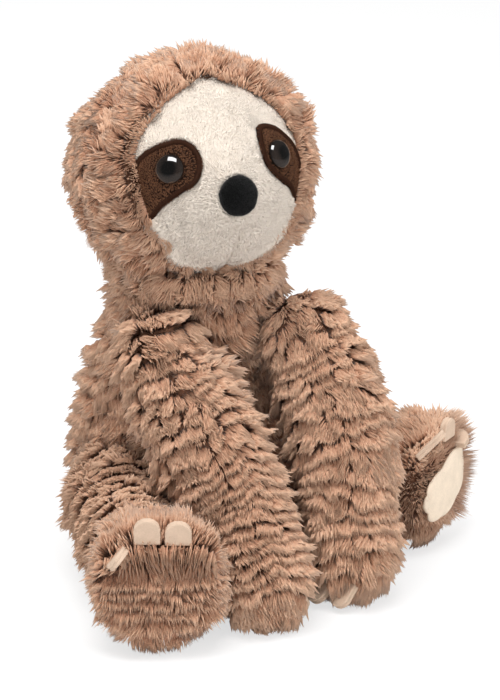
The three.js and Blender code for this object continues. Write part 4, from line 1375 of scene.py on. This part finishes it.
def build_face():
    s = face_settings()

    def heights(across, up, share):
        tucked = smooth_step(0.93, 1.0, share) * 1.6
        top = cloth_height(across, up) - tucked
        return top, np.full_like(top, -0.6)

    material = cloth_material("face_cloth", s.cloth)
    outline = face_outline(180, FACE_GROWTH)
    cloth = face_piece("face_cloth", outline, heights, FACE_RINGS, material, ["face_panel"])
    rng = np.random.default_rng(301)
    root, normal, flat, up = face_roots(cloth, rng)
    n = len(root)
    # The pile lies away from the nose, and sideways and down over the forehead
    way = root - on_head(0.0, 2.0, 4.0)
    brow = smooth_step(8.0, 30.0, up)[:, None]
    way = unit(way) * (1 - 0.4 * brow) + (0.5, 0.0, 0.0) * brow + (0.1, 0.0, -0.3) * (1 - brow)
    way = unit(way - normal * np.sum(way * normal, -1, keepdims=True))
    turn = (waves(root, 14.0, 303) * 0.4 + rng.normal(0, 0.2, n))[:, None]
    way = way * np.cos(turn) + np.cross(normal, way) * np.sin(turn)
    pile = s.pile / MM * rng.uniform(0.7, 1.2, n) * (1 + 0.2 * waves(root, 9.0, 304))
    # Longer at the edge, where it runs out over the fur
    pile *= 1 + 1.3 * np.clip(edge_share(flat) - 0.86, 0, 0.14) / 0.14
    tip = root + normal * (pile * 0.34)[:, None] + way * (pile * 1.15)[:, None] + rng.normal(0, 0.09, (n, 3))
    bend = root + normal * (pile * 0.33)[:, None] + way * (pile * 0.35)[:, None]
    tone = 0.5 + 0.2 * rng.normal(0, 1, n) + 0.2 * waves(root, 5.0, 305)
    widths = rng.uniform(0.22, 0.42, n) * 1.0
    hair = (root - normal * 0.15, bend, tip, widths, tone, normal)
    coat("face_pile", hair, "head", pile_material("face_pile", s.cloth))


# A sewn thread: corners round it, parts along it, how far it dives at its ends, how flat it is
THREAD_AROUND, THREAD_STEPS, THREAD_DIVE, THREAD_FLAT = 6, 4, 0.12, 0.75


def stitches(name, start, end, normal, width, lift, tone, material):
    """Sewn threads: each a round thread that rises in its middle and dives at both ends."""
    way = unit(end - start)
    side = unit(np.cross(normal, way))
    rise = unit(np.cross(way, side))
    around, steps = THREAD_AROUND, THREAD_STEPS
    at = np.linspace(0, 1, steps + 1)
    places = []
    for t in at:
        centre = start + (end - start) * t + rise * (lift * math.sin(math.pi * t) ** 0.7 - THREAD_DIVE)
        size = width * (0.45 + 0.55 * math.sin(math.pi * t) ** 0.6) / 2
        for j in range(around):
            a = 2 * math.pi * j / around
            places.append(centre + size * (math.cos(a) * side + THREAD_FLAT * math.sin(a) * rise))
    faces, spots = [], []
    for k in range(steps):
        for j in range(around):
            a, b = k * around + j, k * around + (j + 1) % around
            faces.append((a, b, b + around, a + around))
            left, right = j / around, (j + 1) / around
            spots += [(left, at[k]), (right, at[k]), (right, at[k + 1]), (left, at[k + 1])]
    last = steps * around
    faces.append(tuple(reversed(range(around))))
    faces.append(tuple(range(last, last + around)))
    spots += [(0.5, 0.0)] * around + [(0.5, 1.0)] * around
    spots = np.array(spots)
    u = MAP_EDGE + 0.95 * np.clip(tone, 0, 1)[:, None] + 0.02 * spots[None, :, 0]
    v = np.broadcast_to(MAP_EDGE + MAP_LENGTH * spots[None, :, 1], u.shape)
    return strands_piece(name, np.stack(places, 1), faces, u, v, material)


def thread_material(name, colour, light):
    material, tree, shader = new_material(name, {"Roughness": 0.6, "Specular IOR Level": 0.12})
    tone, along = map_spot(tree)
    # Painted highlight on the thread's raised middle, as bright as light says, and painted shade at its ends,
    # where it dives into the cloth
    sheen = maths(tree, "SINE", maths(tree, "MULTIPLY", along, math.pi))
    low = mixed(tree, tone, rgba(colour, 0.5), rgba(colour, 0.8))
    high = mixed(tree, tone, rgba(colour, 0.95), rgba(colour, light))
    tree.links.new(mixed(tree, sheen, low, high), shader.inputs["Base Color"])
    return material


def head_normal(across, up):
    """The way out of the head at places in degrees."""
    step, height = 0.3, 3.0
    a = on_head(across + step, up, height) - on_head(across - step, up, height)
    b = on_head(across, up + step, height) - on_head(across, up - step, height)
    return unit(np.cross(a, b))


# The eye patches: height of the cloth and of the threads over the face's inside, and the sizes of the
# satin stitches of the border and of the short threads of the middle, in millimetres
GROUND_HEIGHT, GROUND_TUCK, GROUND_UNDER, GROUND_RINGS = 3.3, 0.6, 0.8, 16
BORDER_HEIGHT, BORDER_EVERY, BORDER_OUT, BORDER_IN = 3.5, 0.5, 0.25, 2.9
BORDER_THREAD, BORDER_LIFT = 0.56, 0.85
THREAD_HEIGHT, THREAD_WIDTH, THREAD_LIFT, THREAD_EVERY = 3.42, 0.52, 0.42, 0.85
THREAD_ROW, FIRST_THREADS, LAST_THREADS = 1.5, 7.0, 36.0
PLANE_TO_MM = 53.0
# The ground under the threads is the thread's colour darkened this much: painted shade in the gaps between the
# threads
GROUND_SHADE = 0.16


def border_threads(side, rng, material):
    """Satin stitches side by side across a patch's edge."""
    dense = flat_outline(PATCH_EDGES[side], 1200, side == "right")
    across, up = plane_to_degrees(dense)
    line = on_head(across, up, BORDER_HEIGHT)
    length = lengths_along(line)
    count = int(length[-1] / BORDER_EVERY)
    at = np.linspace(0, length[-1], count)
    centre = np.stack([np.interp(at, length, line[:, k]) for k in range(3)], -1)
    normal = head_normal(np.interp(at, length, across), np.interp(at, length, up))
    run = unit(np.gradient(centre, axis=0))
    inwards = unit(np.cross(normal, run))
    eye = on_head(*EYES[side], BORDER_HEIGHT)
    if np.mean(np.sum((eye - centre) * inwards, -1)) < 0:
        inwards = -inwards
    start = centre - inwards * (BORDER_OUT + rng.normal(0, 0.05, count))[:, None]
    end = centre + inwards * (BORDER_IN + rng.normal(0, 0.07, count))[:, None] + run * 0.25
    tone = rng.uniform(0.0, 1.0, count)
    return stitches(f"patch_border_{side}", start, end, normal, BORDER_THREAD, BORDER_LIFT, tone, material)


def middle_threads(side, outline, rng, material):
    """Short threads in slanting rows that run round the eye like knitting."""
    eye = degrees_to_plane(*EYES[side])
    rows = []
    for k, radius in enumerate(np.arange(FIRST_THREADS, LAST_THREADS, THREAD_ROW)):
        steps = max(6, int(2 * math.pi * radius / THREAD_EVERY))
        a = (np.arange(steps) + rng.uniform(0, 1) + rng.uniform(-0.35, 0.35, steps)) / steps * 2 * math.pi
        far = radius + rng.normal(0, 0.34, (steps, 1)) + 0.35 * np.sin(a * 3 + k)[:, None]
        spots = eye + np.stack([np.cos(a), np.sin(a)], -1) * (far / PLANE_TO_MM)
        good = within(spots, outline)
        rows.append(np.concatenate([spots[good], np.full((good.sum(), 1), k), a[good, None]], 1))
    rows = np.concatenate(rows)
    a = rows[:, 3]
    out = np.stack([np.cos(a), np.sin(a)], -1)
    slant = np.stack([-np.sin(a), np.cos(a)], -1) * np.where(rows[:, 2] % 2 == 0, 1, -1)[:, None]
    turned = rng.normal(0.25, 0.2, (len(rows), 1))
    reach = (out + slant * turned) * rng.uniform(0.6, 1.0, (len(rows), 1)) / PLANE_TO_MM
    start, end, middle = (plane_to_degrees(rows[:, :2] + reach * sign) for sign in (-1, 1, 0))
    tone = 0.5 + rng.normal(0, 0.24, len(rows)) + 0.2 * waves(on_head(*middle, 3.0), 6.0, 409)
    return stitches(
        f"patch_threads_{side}", on_head(*start, THREAD_HEIGHT), on_head(*end, THREAD_HEIGHT),
        head_normal(*middle), THREAD_WIDTH, THREAD_LIFT, np.clip(tone, 0, 1), material,
    )


def build_patches():
    s = face_settings()
    border = thread_material("patch_border", s.border, 1.25)
    fill = thread_material("patch_thread", s.thread, 1.8)
    ground = cloth_material("patch_ground", tuple(c * GROUND_SHADE for c in s.thread), 1400.0, 0.0002)

    def heights(across, up, share):
        top = GROUND_HEIGHT - smooth_step(0.9, 1.0, share) * GROUND_TUCK
        return top, np.full_like(top, GROUND_UNDER)

    for side, edge in PATCH_EDGES.items():
        outline = flat_outline(edge, 120, side == "right")
        replaced = [f"eye_patch_{side}"]
        face_piece(f"patch_ground_{side}", outline, heights, GROUND_RINGS, ground, replaced)
        rng = np.random.default_rng(401)
        finish_piece(border_threads(side, rng, border), "head")
        finish_piece(middle_threads(side, outline, rng, fill), "head")


def lathe_piece(name, profile, count, turn, place, material):
    """A turned form: a profile of radius and height in millimetres, set up by a turn and moved to a place."""
    places, faces, rows = [], [], []
    for radius, height in profile:
        if radius == 0:
            rows.append([len(places)])
            places.append((0, 0, height))
            continue
        rows.append(list(range(len(places), len(places) + count)))
        for i in range(count):
            a = 2 * math.pi * i / count
            places.append((radius * math.cos(a), radius * math.sin(a), height))
    for low, high in zip(rows, rows[1:]):
        for i in range(count):
            k = (i + 1) % count
            if len(low) == 1:
                faces.append((low[0], high[k], high[i]))
            elif len(high) == 1:
                faces.append((low[i], low[k], high[0]))
            else:
                faces.append((low[i], low[k], high[k], high[i]))
    places = np.array(places) @ turn.T + place
    piece = mesh_piece(name, places, faces, material)
    smooth_faces(piece.data)
    return piece


def turn_to(axis):
    """A turn whose third column is the axis and whose second is as near upright as can be."""
    z = unit(np.array(axis, float))
    y = unit(UP - z * (UP @ z))
    return np.stack([np.cross(y, z), y, z], 1)


def eye_material():
    """A dark glass dome: a black middle, a grey-brown ring and a dark edge, by the place on the map, with painted
    light that makes the ring lighter towards the bottom.
    """
    s = face_settings()
    material, tree, shader = new_material("eye", {
        "Roughness": 0.06, "IOR": 1.6, "Coat Weight": 1.0, "Coat Roughness": 0.02, "Coat IOR": 1.7,
    })
    spot = add(tree, "ShaderNodeUVMap", uv_map=BAKE_MAP).outputs[0]
    middle = add(tree, "ShaderNodeVectorMath", {0: spot, 1: (0.5, 0.5, 0.0)}, operation="SUBTRACT").outputs[0]
    length = add(tree, "ShaderNodeVectorMath", {0: middle}, operation="LENGTH").outputs["Value"]
    black = rgba(s.eye, 0.06)
    colour = ramp(tree, maths(tree, "MULTIPLY", length, 2.0), [
        (0.0, black), (0.40, black), (0.56, rgba(s.eye, 0.75)), (0.78, rgba(s.eye, 1.35)),
        (0.88, rgba(s.eye, 1.0)), (0.95, rgba(s.eye, 0.25)),
    ])
    # Painted light: the ring is lit towards the bottom, where light comes in through the dome, and fades to black
    # towards the top
    upwards = add(tree, "ShaderNodeSeparateXYZ", {0: middle}).outputs[1]
    lit = maths(tree, "MULTIPLY_ADD", upwards, -1.1, 0.75, clamp=True)
    tree.links.new(mixed(tree, lit, black, colour), shader.inputs["Base Color"])
    return material


# The eye's dome: radius, height, straight rim, height of its back over the face's inside, and its facets
EYE_RADIUS, EYE_DOME, EYE_RIM, EYE_BACK = 6.75, 4.2, 0.8, 3.1
DOME_STEPS, DOME_AROUND = 14, 64
MAP_HALF = 0.47


def build_eyes():
    glass = eye_material()
    for side, (across, up) in EYES.items():
        normal = head_normal(across, up)
        turn = turn_to(normal)
        place = on_head(across, up, 0.0) + normal * EYE_BACK
        back = [(0, -0.8), (EYE_RADIUS - 1.2, -0.8), (EYE_RADIUS - 0.3, -0.55), (EYE_RADIUS, 0.0)]
        profile = back + [(EYE_RADIUS, EYE_RIM)]
        for k in range(1, DOME_STEPS + 1):
            a = k / DOME_STEPS * math.pi / 2
            radius = EYE_RADIUS * math.cos(a) if k < DOME_STEPS else 0
            profile.append((radius, EYE_RIM + (EYE_DOME - EYE_RIM) * math.sin(a)))
        piece = lathe_piece(f"eye_dome_{side}", profile, DOME_AROUND, turn, place, glass)
        layer = piece.data.uv_layers.new(name=BAKE_MAP)
        local = (places_of(piece.data) - place) @ turn
        for loop, spot in zip(piece.data.loops, layer.uv):
            x, y, _ = local[loop.vertex_index]
            spot.vector = (0.5 + MAP_HALF * x / EYE_RADIUS, 0.5 + MAP_HALF * y / EYE_RADIUS)
        finish_piece(piece, "head", [f"eye_{side}"])


# The nose: half width, half height, how far it stands out, how far its side runs back, and its place
NOSE_WIDE, NOSE_HIGH, NOSE_OUT, NOSE_SIDE, NOSE_BACK = 8.6, 8.7, 3.5, 3.4, 2.2
NOSE_STEPS, NOSE_AROUND, NOSE_SWEEP = 22, 72, 0.62
FLOCK_DENSITY = 14.0


def build_nose():
    s = face_settings()
    normal = head_normal(0.0, 0.0)
    turn = turn_to(normal)
    place = on_head(0.0, 0.0, NOSE_BACK) + turn @ (NOSE_ASIDE, -NOSE_DOWN, 0.0)
    steps, count = NOSE_STEPS, NOSE_AROUND
    places, faces = [(0.0, 0.0, NOSE_OUT)], []
    for k in range(1, steps + 1):
        a = k / steps * math.pi * NOSE_SWEEP
        if a < math.pi / 2:
            r, h = math.sin(a), NOSE_OUT * math.cos(a)
        else:
            past = a - math.pi / 2
            r, h = 1.0 - 0.1 * past, -NOSE_SIDE * past / 0.4
        for i in range(count):
            b = 2 * math.pi * i / count
            wave = 1 + 0.012 * math.sin(5 * b) + 0.01 * math.sin(9 * b + 1)
            places.append((NOSE_WIDE * r * wave * math.cos(b), NOSE_HIGH * r * wave * math.sin(b), h))
    for i in range(count):
        j = (i + 1) % count
        faces.append((0, 1 + i, 1 + j))
        for k in range(steps - 1):
            a, b = 1 + k * count, 1 + (k + 1) * count
            faces.append((a + i, b + i, b + j, a + j))
    faces.append(tuple(1 + (steps - 1) * count + i for i in reversed(range(count))))
    material = cloth_material("nose_cloth", s.nose, 1500.0, 0.0003, 0.4, 0.85)
    piece = mesh_piece("nose", np.array(places) @ turn.T + place, faces, material)
    smooth_faces(piece.data)
    finish_piece(piece, "head", ["nose_pad"])
    # A short dark flock over it
    rng = np.random.default_rng(501)
    share = 1.0
    root, out = scatter(piece.data, FLOCK_DENSITY * share, rng)
    front = out @ normal > -0.1
    root, out = root[front], out[front]
    n = len(root)
    lean = unit(out + rng.normal(0, 0.45, (n, 3)))
    pile = rng.uniform(0.5, 1.0, n)[:, None]
    widths, tone = rng.uniform(0.18, 0.3, n), rng.uniform(0, 1, n)
    hair = (root - out * 0.1, root + out * (pile * 0.4), root + lean * pile, widths, tone, out)
    coat("nose_flock", hair, "head", pile_material("nose_flock", tuple(c * 1.6 for c in s.nose), 0.5))


# The part of each foot claw's length, from its root to its tip, that shows out of the fur, and a hand claw's
CLAW_REACH = {
    "leg_right_claw_1": (0.04, 0.80),
    "leg_right_claw_2": (0.34, 1.0),
    "leg_right_claw_3": (0.32, 0.93),
    "leg_left_claw_1": (0.20, 0.78),
    "leg_left_claw_2": (0.30, 0.86),
    "leg_left_claw_3": (0.02, 0.56),
}
HAND_CLAW_REACH = (0.0, 0.88)
CLAW_TIP = 4.6
CLAW_VOXEL, CLAW_ROUNDS, CLAW_SWELL = 0.5, 8, 0.35
SEAM_DEPTH, SEAM_WIDTH = 0.45, 0.32


def suede_material(name, colour):
    return cloth_material(name, colour, 1300.0, 0.00015, 0.1, 0.85)


def flat_ways(places):
    """The middle of some places, and their longest, middle and thinnest ways."""
    middle = places.mean(0)
    return middle, np.linalg.svd(places - middle, full_matrices=False)[2]


def shown_part(node, body, places):
    """A claw shorter, with its round tip kept: what the fur leaves in sight of it."""
    middle, axes = flat_ways(places)
    outwards = middle - np.array(LIMB_PATHS[body][-1], float)
    way = max((axes[0], axes[1]), key=lambda axis: abs(axis @ outwards))
    way = way * np.sign(way @ outwards)
    high = (places - middle) @ way
    high = high - high.min()
    length = high.max()
    root, tip = (length * share for share in CLAW_REACH.get(node, HAND_CLAW_REACH))
    shown = np.interp(high, (0.0, length - CLAW_TIP, length), (root, tip - CLAW_TIP, tip))
    return places + way * (shown - high)[:, None]


def claw_piece(node, body, material):
    """A claw as a small cushion: its solid remeshed, rounded, swelled and creased along its edge seam."""
    piece = cad_union(node + "_cloth", [node], {node: CLAW_SWELL})
    choose(piece)
    piece.data.remesh_voxel_size = CLAW_VOXEL * MM
    bpy.ops.object.voxel_remesh()
    apply_modifier(piece, "SMOOTH", factor=0.5, iterations=CLAW_ROUNDS)
    places, normal = places_of(piece.data), normals_of(piece.data)
    middle, axes = flat_ways(places)
    height = (places - middle) @ axes[2]
    side = 1 - np.abs(normal @ axes[2])
    crease = SEAM_DEPTH * bump_at(height, 0.0, SEAM_WIDTH) * smooth_step(0.4, 0.9, side)
    set_places(piece.data, shown_part(node, body, places - normal * crease[:, None]))
    smooth_faces(piece.data)
    piece.data.materials.append(material)
    finish_piece(piece, body, [node])


def build_claws():
    suede = suede_material("claw_cloth", claw_settings().claw)
    for body, names in frame["record"]["behaviour"]["bodies"].items():
        for node in names:
            if "_claw_" in node:
                claw_piece(node, body, suede)


# The sole patch: round lobes that meet in shallow notches, on a blunt oval
LOBES, LOBE_TURN, LOBE_POWER, LOBE_HEIGHT = 8, 0.2, 0.75, 0.08
BLUNT_POWER, SOLE_SHARE = 2.6, 0.90
SOLE_AROUND, SOLE_RINGS, SOLE_RING_POWER = 240, 14, 0.8
SOLE_SWELL, SOLE_EDGE_DROP, SOLE_UNEVEN, SOLE_UNDER = 0.95, 0.7, 0.12, 0.5
SOLE_SEAM, SOLE_SEAM_AT, SOLE_SEAM_WIDTH = 0.22, 0.9, 0.02


def build_sole():
    """The patch under the left foot: a thin cushion with eight round lobes, bare on its face."""
    middle, long_way, short_way, thin, fit, half_u, half_v = sole_frame()
    count, rings = SOLE_AROUND, SOLE_RINGS
    a = 2 * math.pi * np.arange(count) / count
    lobe = np.abs(np.sin((a - LOBE_TURN) * LOBES / 2)) ** LOBE_POWER
    blunt = (np.abs(np.cos(a)) ** BLUNT_POWER + np.abs(np.sin(a)) ** BLUNT_POWER) ** (-1 / BLUNT_POWER)
    edge = np.stack([np.cos(a) * half_u, np.sin(a) * half_v], -1)
    edge = edge * (blunt * (SOLE_SHARE + LOBE_HEIGHT * lobe))[:, None]
    ring_shares = [(k / rings) ** SOLE_RING_POWER for k in range(1, rings + 1)]
    flat = np.concatenate([np.zeros((1, 2))] + [edge * share for share in ring_shares])
    shares = np.r_[0.0, np.repeat(ring_shares, count)]
    x, y = flat[:, 0], flat[:, 1]
    base = curved_terms(x, y) @ fit
    swell = SOLE_SWELL * (1 - smooth_step(0.86, 1.0, shares) * SOLE_EDGE_DROP)
    swell += SOLE_UNEVEN * waves(np.stack([x, y, x * 0], -1), 14.0, 601)
    swell -= SOLE_SEAM * bump_at(shares, SOLE_SEAM_AT, SOLE_SEAM_WIDTH)
    face = middle + x[:, None] * long_way + y[:, None] * short_way
    top, low = face + thin * (base + swell)[:, None], face + thin * (base - SOLE_UNDER)[:, None]
    n = len(flat)
    faces = []
    for start, flip in ((0, 1), (n, -1)):
        for i in range(count):
            j = (i + 1) % count
            faces.append((start, start + 1 + i, start + 1 + j)[::flip])
            for k in range(rings - 1):
                p, q = start + 1 + k * count, start + 1 + (k + 1) * count
                faces.append((p + i, q + i, q + j, p + j)[::flip])
    rim = 1 + (rings - 1) * count
    for i in range(count):
        j = (i + 1) % count
        faces.append((rim + i, n + rim + i, n + rim + j, rim + j))
    material = suede_material("sole_cloth", claw_settings().sole)
    piece = mesh_piece("sole_patch_cloth", np.concatenate([top, low]), faces, material)
    smooth_faces(piece.data)
    finish_piece(piece, "leg_left", ["sole_patch"])


def build_inner():
    """The eyes' washers keep their solids' forms and take a hard plastic's look."""
    grey = (0.72, 0.72, 0.70)
    plastic = cloth_material("washer_plastic", grey, 300.0, 0.00002, 0.03, 0.45)
    for side in ("left", "right"):
        data = frame["nodes"][f"eye_washer_{side}"].data
        data.materials.clear()
        data.materials.append(plastic)


class SLOTH_OT_body(bpy.types.Operator):
    """The body's backing and its coat"""
    bl_idname = "sloth.body"
    bl_label = "Body"

    def execute(self, context):
        build_body()
        return {"FINISHED"}


class SLOTH_OT_neck(bpy.types.Operator):
    """The furred ring between the hood and the body"""
    bl_idname = "sloth.neck"
    bl_label = "Neck"

    def execute(self, context):
        build_neck()
        return {"FINISHED"}


class SLOTH_OT_head(bpy.types.Operator):
    """The hood's backing and its coat"""
    bl_idname = "sloth.head"
    bl_label = "Head"

    def execute(self, context):
        build_head()
        return {"FINISHED"}


class SLOTH_OT_arms(bpy.types.Operator):
    """Both arms' backing and coat"""
    bl_idname = "sloth.arms"
    bl_label = "Arms"

    def execute(self, context):
        for side in ("right", "left"):
            build_arm(side)
        return {"FINISHED"}


class SLOTH_OT_legs(bpy.types.Operator):
    """Both legs' backing and coat"""
    bl_idname = "sloth.legs"
    bl_label = "Legs"

    def execute(self, context):
        for side in ("right", "left"):
            build_leg(side)
        return {"FINISHED"}


class SLOTH_OT_face(bpy.types.Operator):
    """The face cloth and its short pile"""
    bl_idname = "sloth.face"
    bl_label = "Face"

    def execute(self, context):
        build_face()
        return {"FINISHED"}


class SLOTH_OT_patches(bpy.types.Operator):
    """The embroidered patches round the eyes"""
    bl_idname = "sloth.patches"
    bl_label = "Eye patches"

    def execute(self, context):
        build_patches()
        return {"FINISHED"}


class SLOTH_OT_eyes(bpy.types.Operator):
    """The glass domes of the eyes"""
    bl_idname = "sloth.eyes"
    bl_label = "Eyes"

    def execute(self, context):
        build_eyes()
        return {"FINISHED"}


class SLOTH_OT_nose(bpy.types.Operator):
    """The flocked nose"""
    bl_idname = "sloth.nose"
    bl_label = "Nose"

    def execute(self, context):
        build_nose()
        return {"FINISHED"}


class SLOTH_OT_claws(bpy.types.Operator):
    """The cloth claws of the hands and feet"""
    bl_idname = "sloth.claws"
    bl_label = "Claws"

    def execute(self, context):
        build_claws()
        return {"FINISHED"}


class SLOTH_OT_sole(bpy.types.Operator):
    """The bare patch on the left sole"""
    bl_idname = "sloth.sole"
    bl_label = "Sole patch"

    def execute(self, context):
        build_sole()
        return {"FINISHED"}


class SLOTH_OT_inner(bpy.types.Operator):
    """The washers behind the eyes"""
    bl_idname = "sloth.inner"
    bl_label = "Inner pieces"

    def execute(self, context):
        build_inner()
        return {"FINISHED"}


# The stage, in metres: each lamp's place, share of the main lamp's power and two sides; where the lamps aim;
# and the photograph's camera, with its focal length in pixels of the picture's height
FLOOR_SIZE = 8.0
FLOOR_SHOWN, FLOOR_MIRRORED = 0.68, 0.12
LAMPS = {
    "key": ((-0.30, -0.42, 1.42), 1.0, (0.95, 0.70)),
    "front": ((-0.9, -1.5, 0.75), 0.20, (0.8, 0.8)),
    "side": ((1.2, -0.9, 0.7), 0.30, (0.8, 0.8)),
    "rim": ((0.2, 1.1, 1.0), 0.22, (0.8, 0.6)),
}
LAMP_TARGET = (0.0, -0.06, 0.14)
CAMERA_PLACE, CAMERA_TARGET = (-0.7163, -1.5487, 0.6177), (0.0383, -0.00157, 0.09146)
FOCAL_PIXELS, PICTURE_HEIGHT, SENSOR = 3727.0, 700.0, 36.0
CAMERA_NEAR, CAMERA_FAR = 0.05, 20.0


def aimed(place, target):
    """The turn of a lamp or camera at a place that looks at a target."""
    return (Vector(target) - Vector(place)).to_track_quat("-Z", "Y").to_euler()


def seen_directly(tree, path):
    """1 for what the camera sees straight or through glass."""
    return maths(tree, "MAXIMUM", path.outputs["Is Camera Ray"], path.outputs["Is Transmission Ray"])


def build_floor(s):
    bpy.ops.object.select_all(action="DESELECT")
    bpy.ops.mesh.primitive_plane_add(size=FLOOR_SIZE, location=(0, 0, 0))
    floor = bpy.context.object
    floor.name = floor.data.name = "floor"
    bpy.ops.object.transform_apply(location=True, rotation=True, scale=True)
    material, tree, shader = new_material("floor", {"Roughness": 0.9, "Specular IOR Level": 0.0})
    path = add(tree, "ShaderNodeLightPath")
    white = add(tree, "ShaderNodeEmission", {"Color": (1, 1, 1, 1), "Strength": 1.0})
    colour = mixed(tree, path.outputs["Is Glossy Ray"], rgba(s.floor), rgba(s.floor, FLOOR_MIRRORED))
    tree.links.new(colour, shader.inputs["Base Color"])
    share = maths(tree, "MULTIPLY", seen_directly(tree, path), FLOOR_SHOWN)
    mix = add(tree, "ShaderNodeMixShader", {0: share, 1: shader.outputs[0], 2: white.outputs[0]})
    out = next(n for n in tree.nodes if n.type == "OUTPUT_MATERIAL")
    tree.links.new(mix.outputs[0], out.inputs[0])
    floor.data.materials.append(material)


def build_world(s):
    """Light from all sides, white where the camera sees it and dim in the eyes' glass."""
    world = bpy.data.worlds.new("studio")
    bpy.context.scene.world = world
    world.use_nodes = True
    tree = world.node_tree
    tree.nodes.clear()
    out = tree.nodes.new("ShaderNodeOutputWorld")
    path = add(tree, "ShaderNodeLightPath")
    dimmed = maths(tree, "MULTIPLY", path.outputs["Is Glossy Ray"], -s.around * 0.9)
    strength = maths(tree, "MAXIMUM", maths(tree, "ADD", s.around, dimmed), seen_directly(tree, path))
    back = add(tree, "ShaderNodeBackground", {"Color": (1, 1, 1, 1), "Strength": strength})
    tree.links.new(back.outputs[0], out.inputs[0])


def build_lamps(s):
    for name, (place, share, sides) in LAMPS.items():
        lamp = bpy.data.lights.new(name, "AREA")
        lamp.energy = s.key * share
        lamp.shape = "RECTANGLE"
        lamp.size, lamp.size_y = sides
        holder = bpy.data.objects.new(name, lamp)
        bpy.context.scene.collection.objects.link(holder)
        holder.location = place
        holder.rotation_euler = aimed(place, LAMP_TARGET)
        holder.visible_glossy = name == "key"


def build_camera():
    camera = bpy.data.cameras.new("camera")
    camera.sensor_width = SENSOR
    camera.lens = FOCAL_PIXELS * SENSOR / PICTURE_HEIGHT
    camera.clip_start, camera.clip_end = CAMERA_NEAR, CAMERA_FAR
    holder = bpy.data.objects.new("camera", camera)
    bpy.context.scene.collection.objects.link(holder)
    holder.location = CAMERA_PLACE
    holder.rotation_euler = aimed(CAMERA_PLACE, CAMERA_TARGET)
    bpy.context.scene.camera = holder


class SLOTH_OT_stage(bpy.types.Operator):
    """The floor, the lamps and the camera"""
    bl_idname = "sloth.stage"
    bl_label = "Stage"

    def execute(self, context):
        s = context.scene.sloth_stage
        context.scene.view_settings.view_transform = "Standard"
        build_floor(s)
        build_world(s)
        build_lamps(s)
        build_camera()
        return {"FINISHED"}


class SLOTH_PT_panel(bpy.types.Panel):
    """Lists the sloth's settings and pieces"""
    bl_label = "Plush Sloth"
    bl_idname = "SLOTH_PT_panel"
    bl_space_type = "VIEW_3D"
    bl_region_type = "UI"
    bl_category = "Sloth"

    def draw(self, context):
        scene = context.scene
        for settings in (scene.sloth_fur, scene.sloth_face, scene.sloth_claws, scene.sloth_stage):
            box = self.layout.box()
            for name in settings.bl_rna.properties.keys():
                if name not in ("rna_type", "name"):
                    box.prop(settings, name)
        for operator in OPERATORS:
            self.layout.operator(operator.bl_idname)


SETTINGS = {
    "sloth_fur": FurSettings,
    "sloth_face": FaceSettings,
    "sloth_claws": ClawSettings,
    "sloth_stage": StageSettings,
}
OPERATORS = (
    SLOTH_OT_stage, SLOTH_OT_body, SLOTH_OT_neck, SLOTH_OT_head, SLOTH_OT_arms, SLOTH_OT_legs, SLOTH_OT_face,
    SLOTH_OT_patches, SLOTH_OT_eyes, SLOTH_OT_nose, SLOTH_OT_claws, SLOTH_OT_sole, SLOTH_OT_inner,
)


def register():
    for name, group in SETTINGS.items():
        bpy.utils.register_class(group)
        setattr(bpy.types.Scene, name, PointerProperty(type=group))
    for operator in OPERATORS:
        bpy.utils.register_class(operator)
    bpy.utils.register_class(SLOTH_PT_panel)


def unregister():
    bpy.utils.unregister_class(SLOTH_PT_panel)
    for operator in reversed(OPERATORS):
        bpy.utils.unregister_class(operator)
    for name, group in SETTINGS.items():
        delattr(bpy.types.Scene, name)
        bpy.utils.unregister_class(group)


def main():
    register()
    bpy.ops.sloth.stage()
    bpy.ops.sloth.body()
    bpy.ops.sloth.neck()
    bpy.ops.sloth.head()
    bpy.ops.sloth.arms()
    bpy.ops.sloth.legs()
    bpy.ops.sloth.face()
    bpy.ops.sloth.patches()
    bpy.ops.sloth.eyes()
    bpy.ops.sloth.nose()
    bpy.ops.sloth.claws()
    bpy.ops.sloth.sole()
    bpy.ops.sloth.inner()


if __name__ == "__main__":
    main()
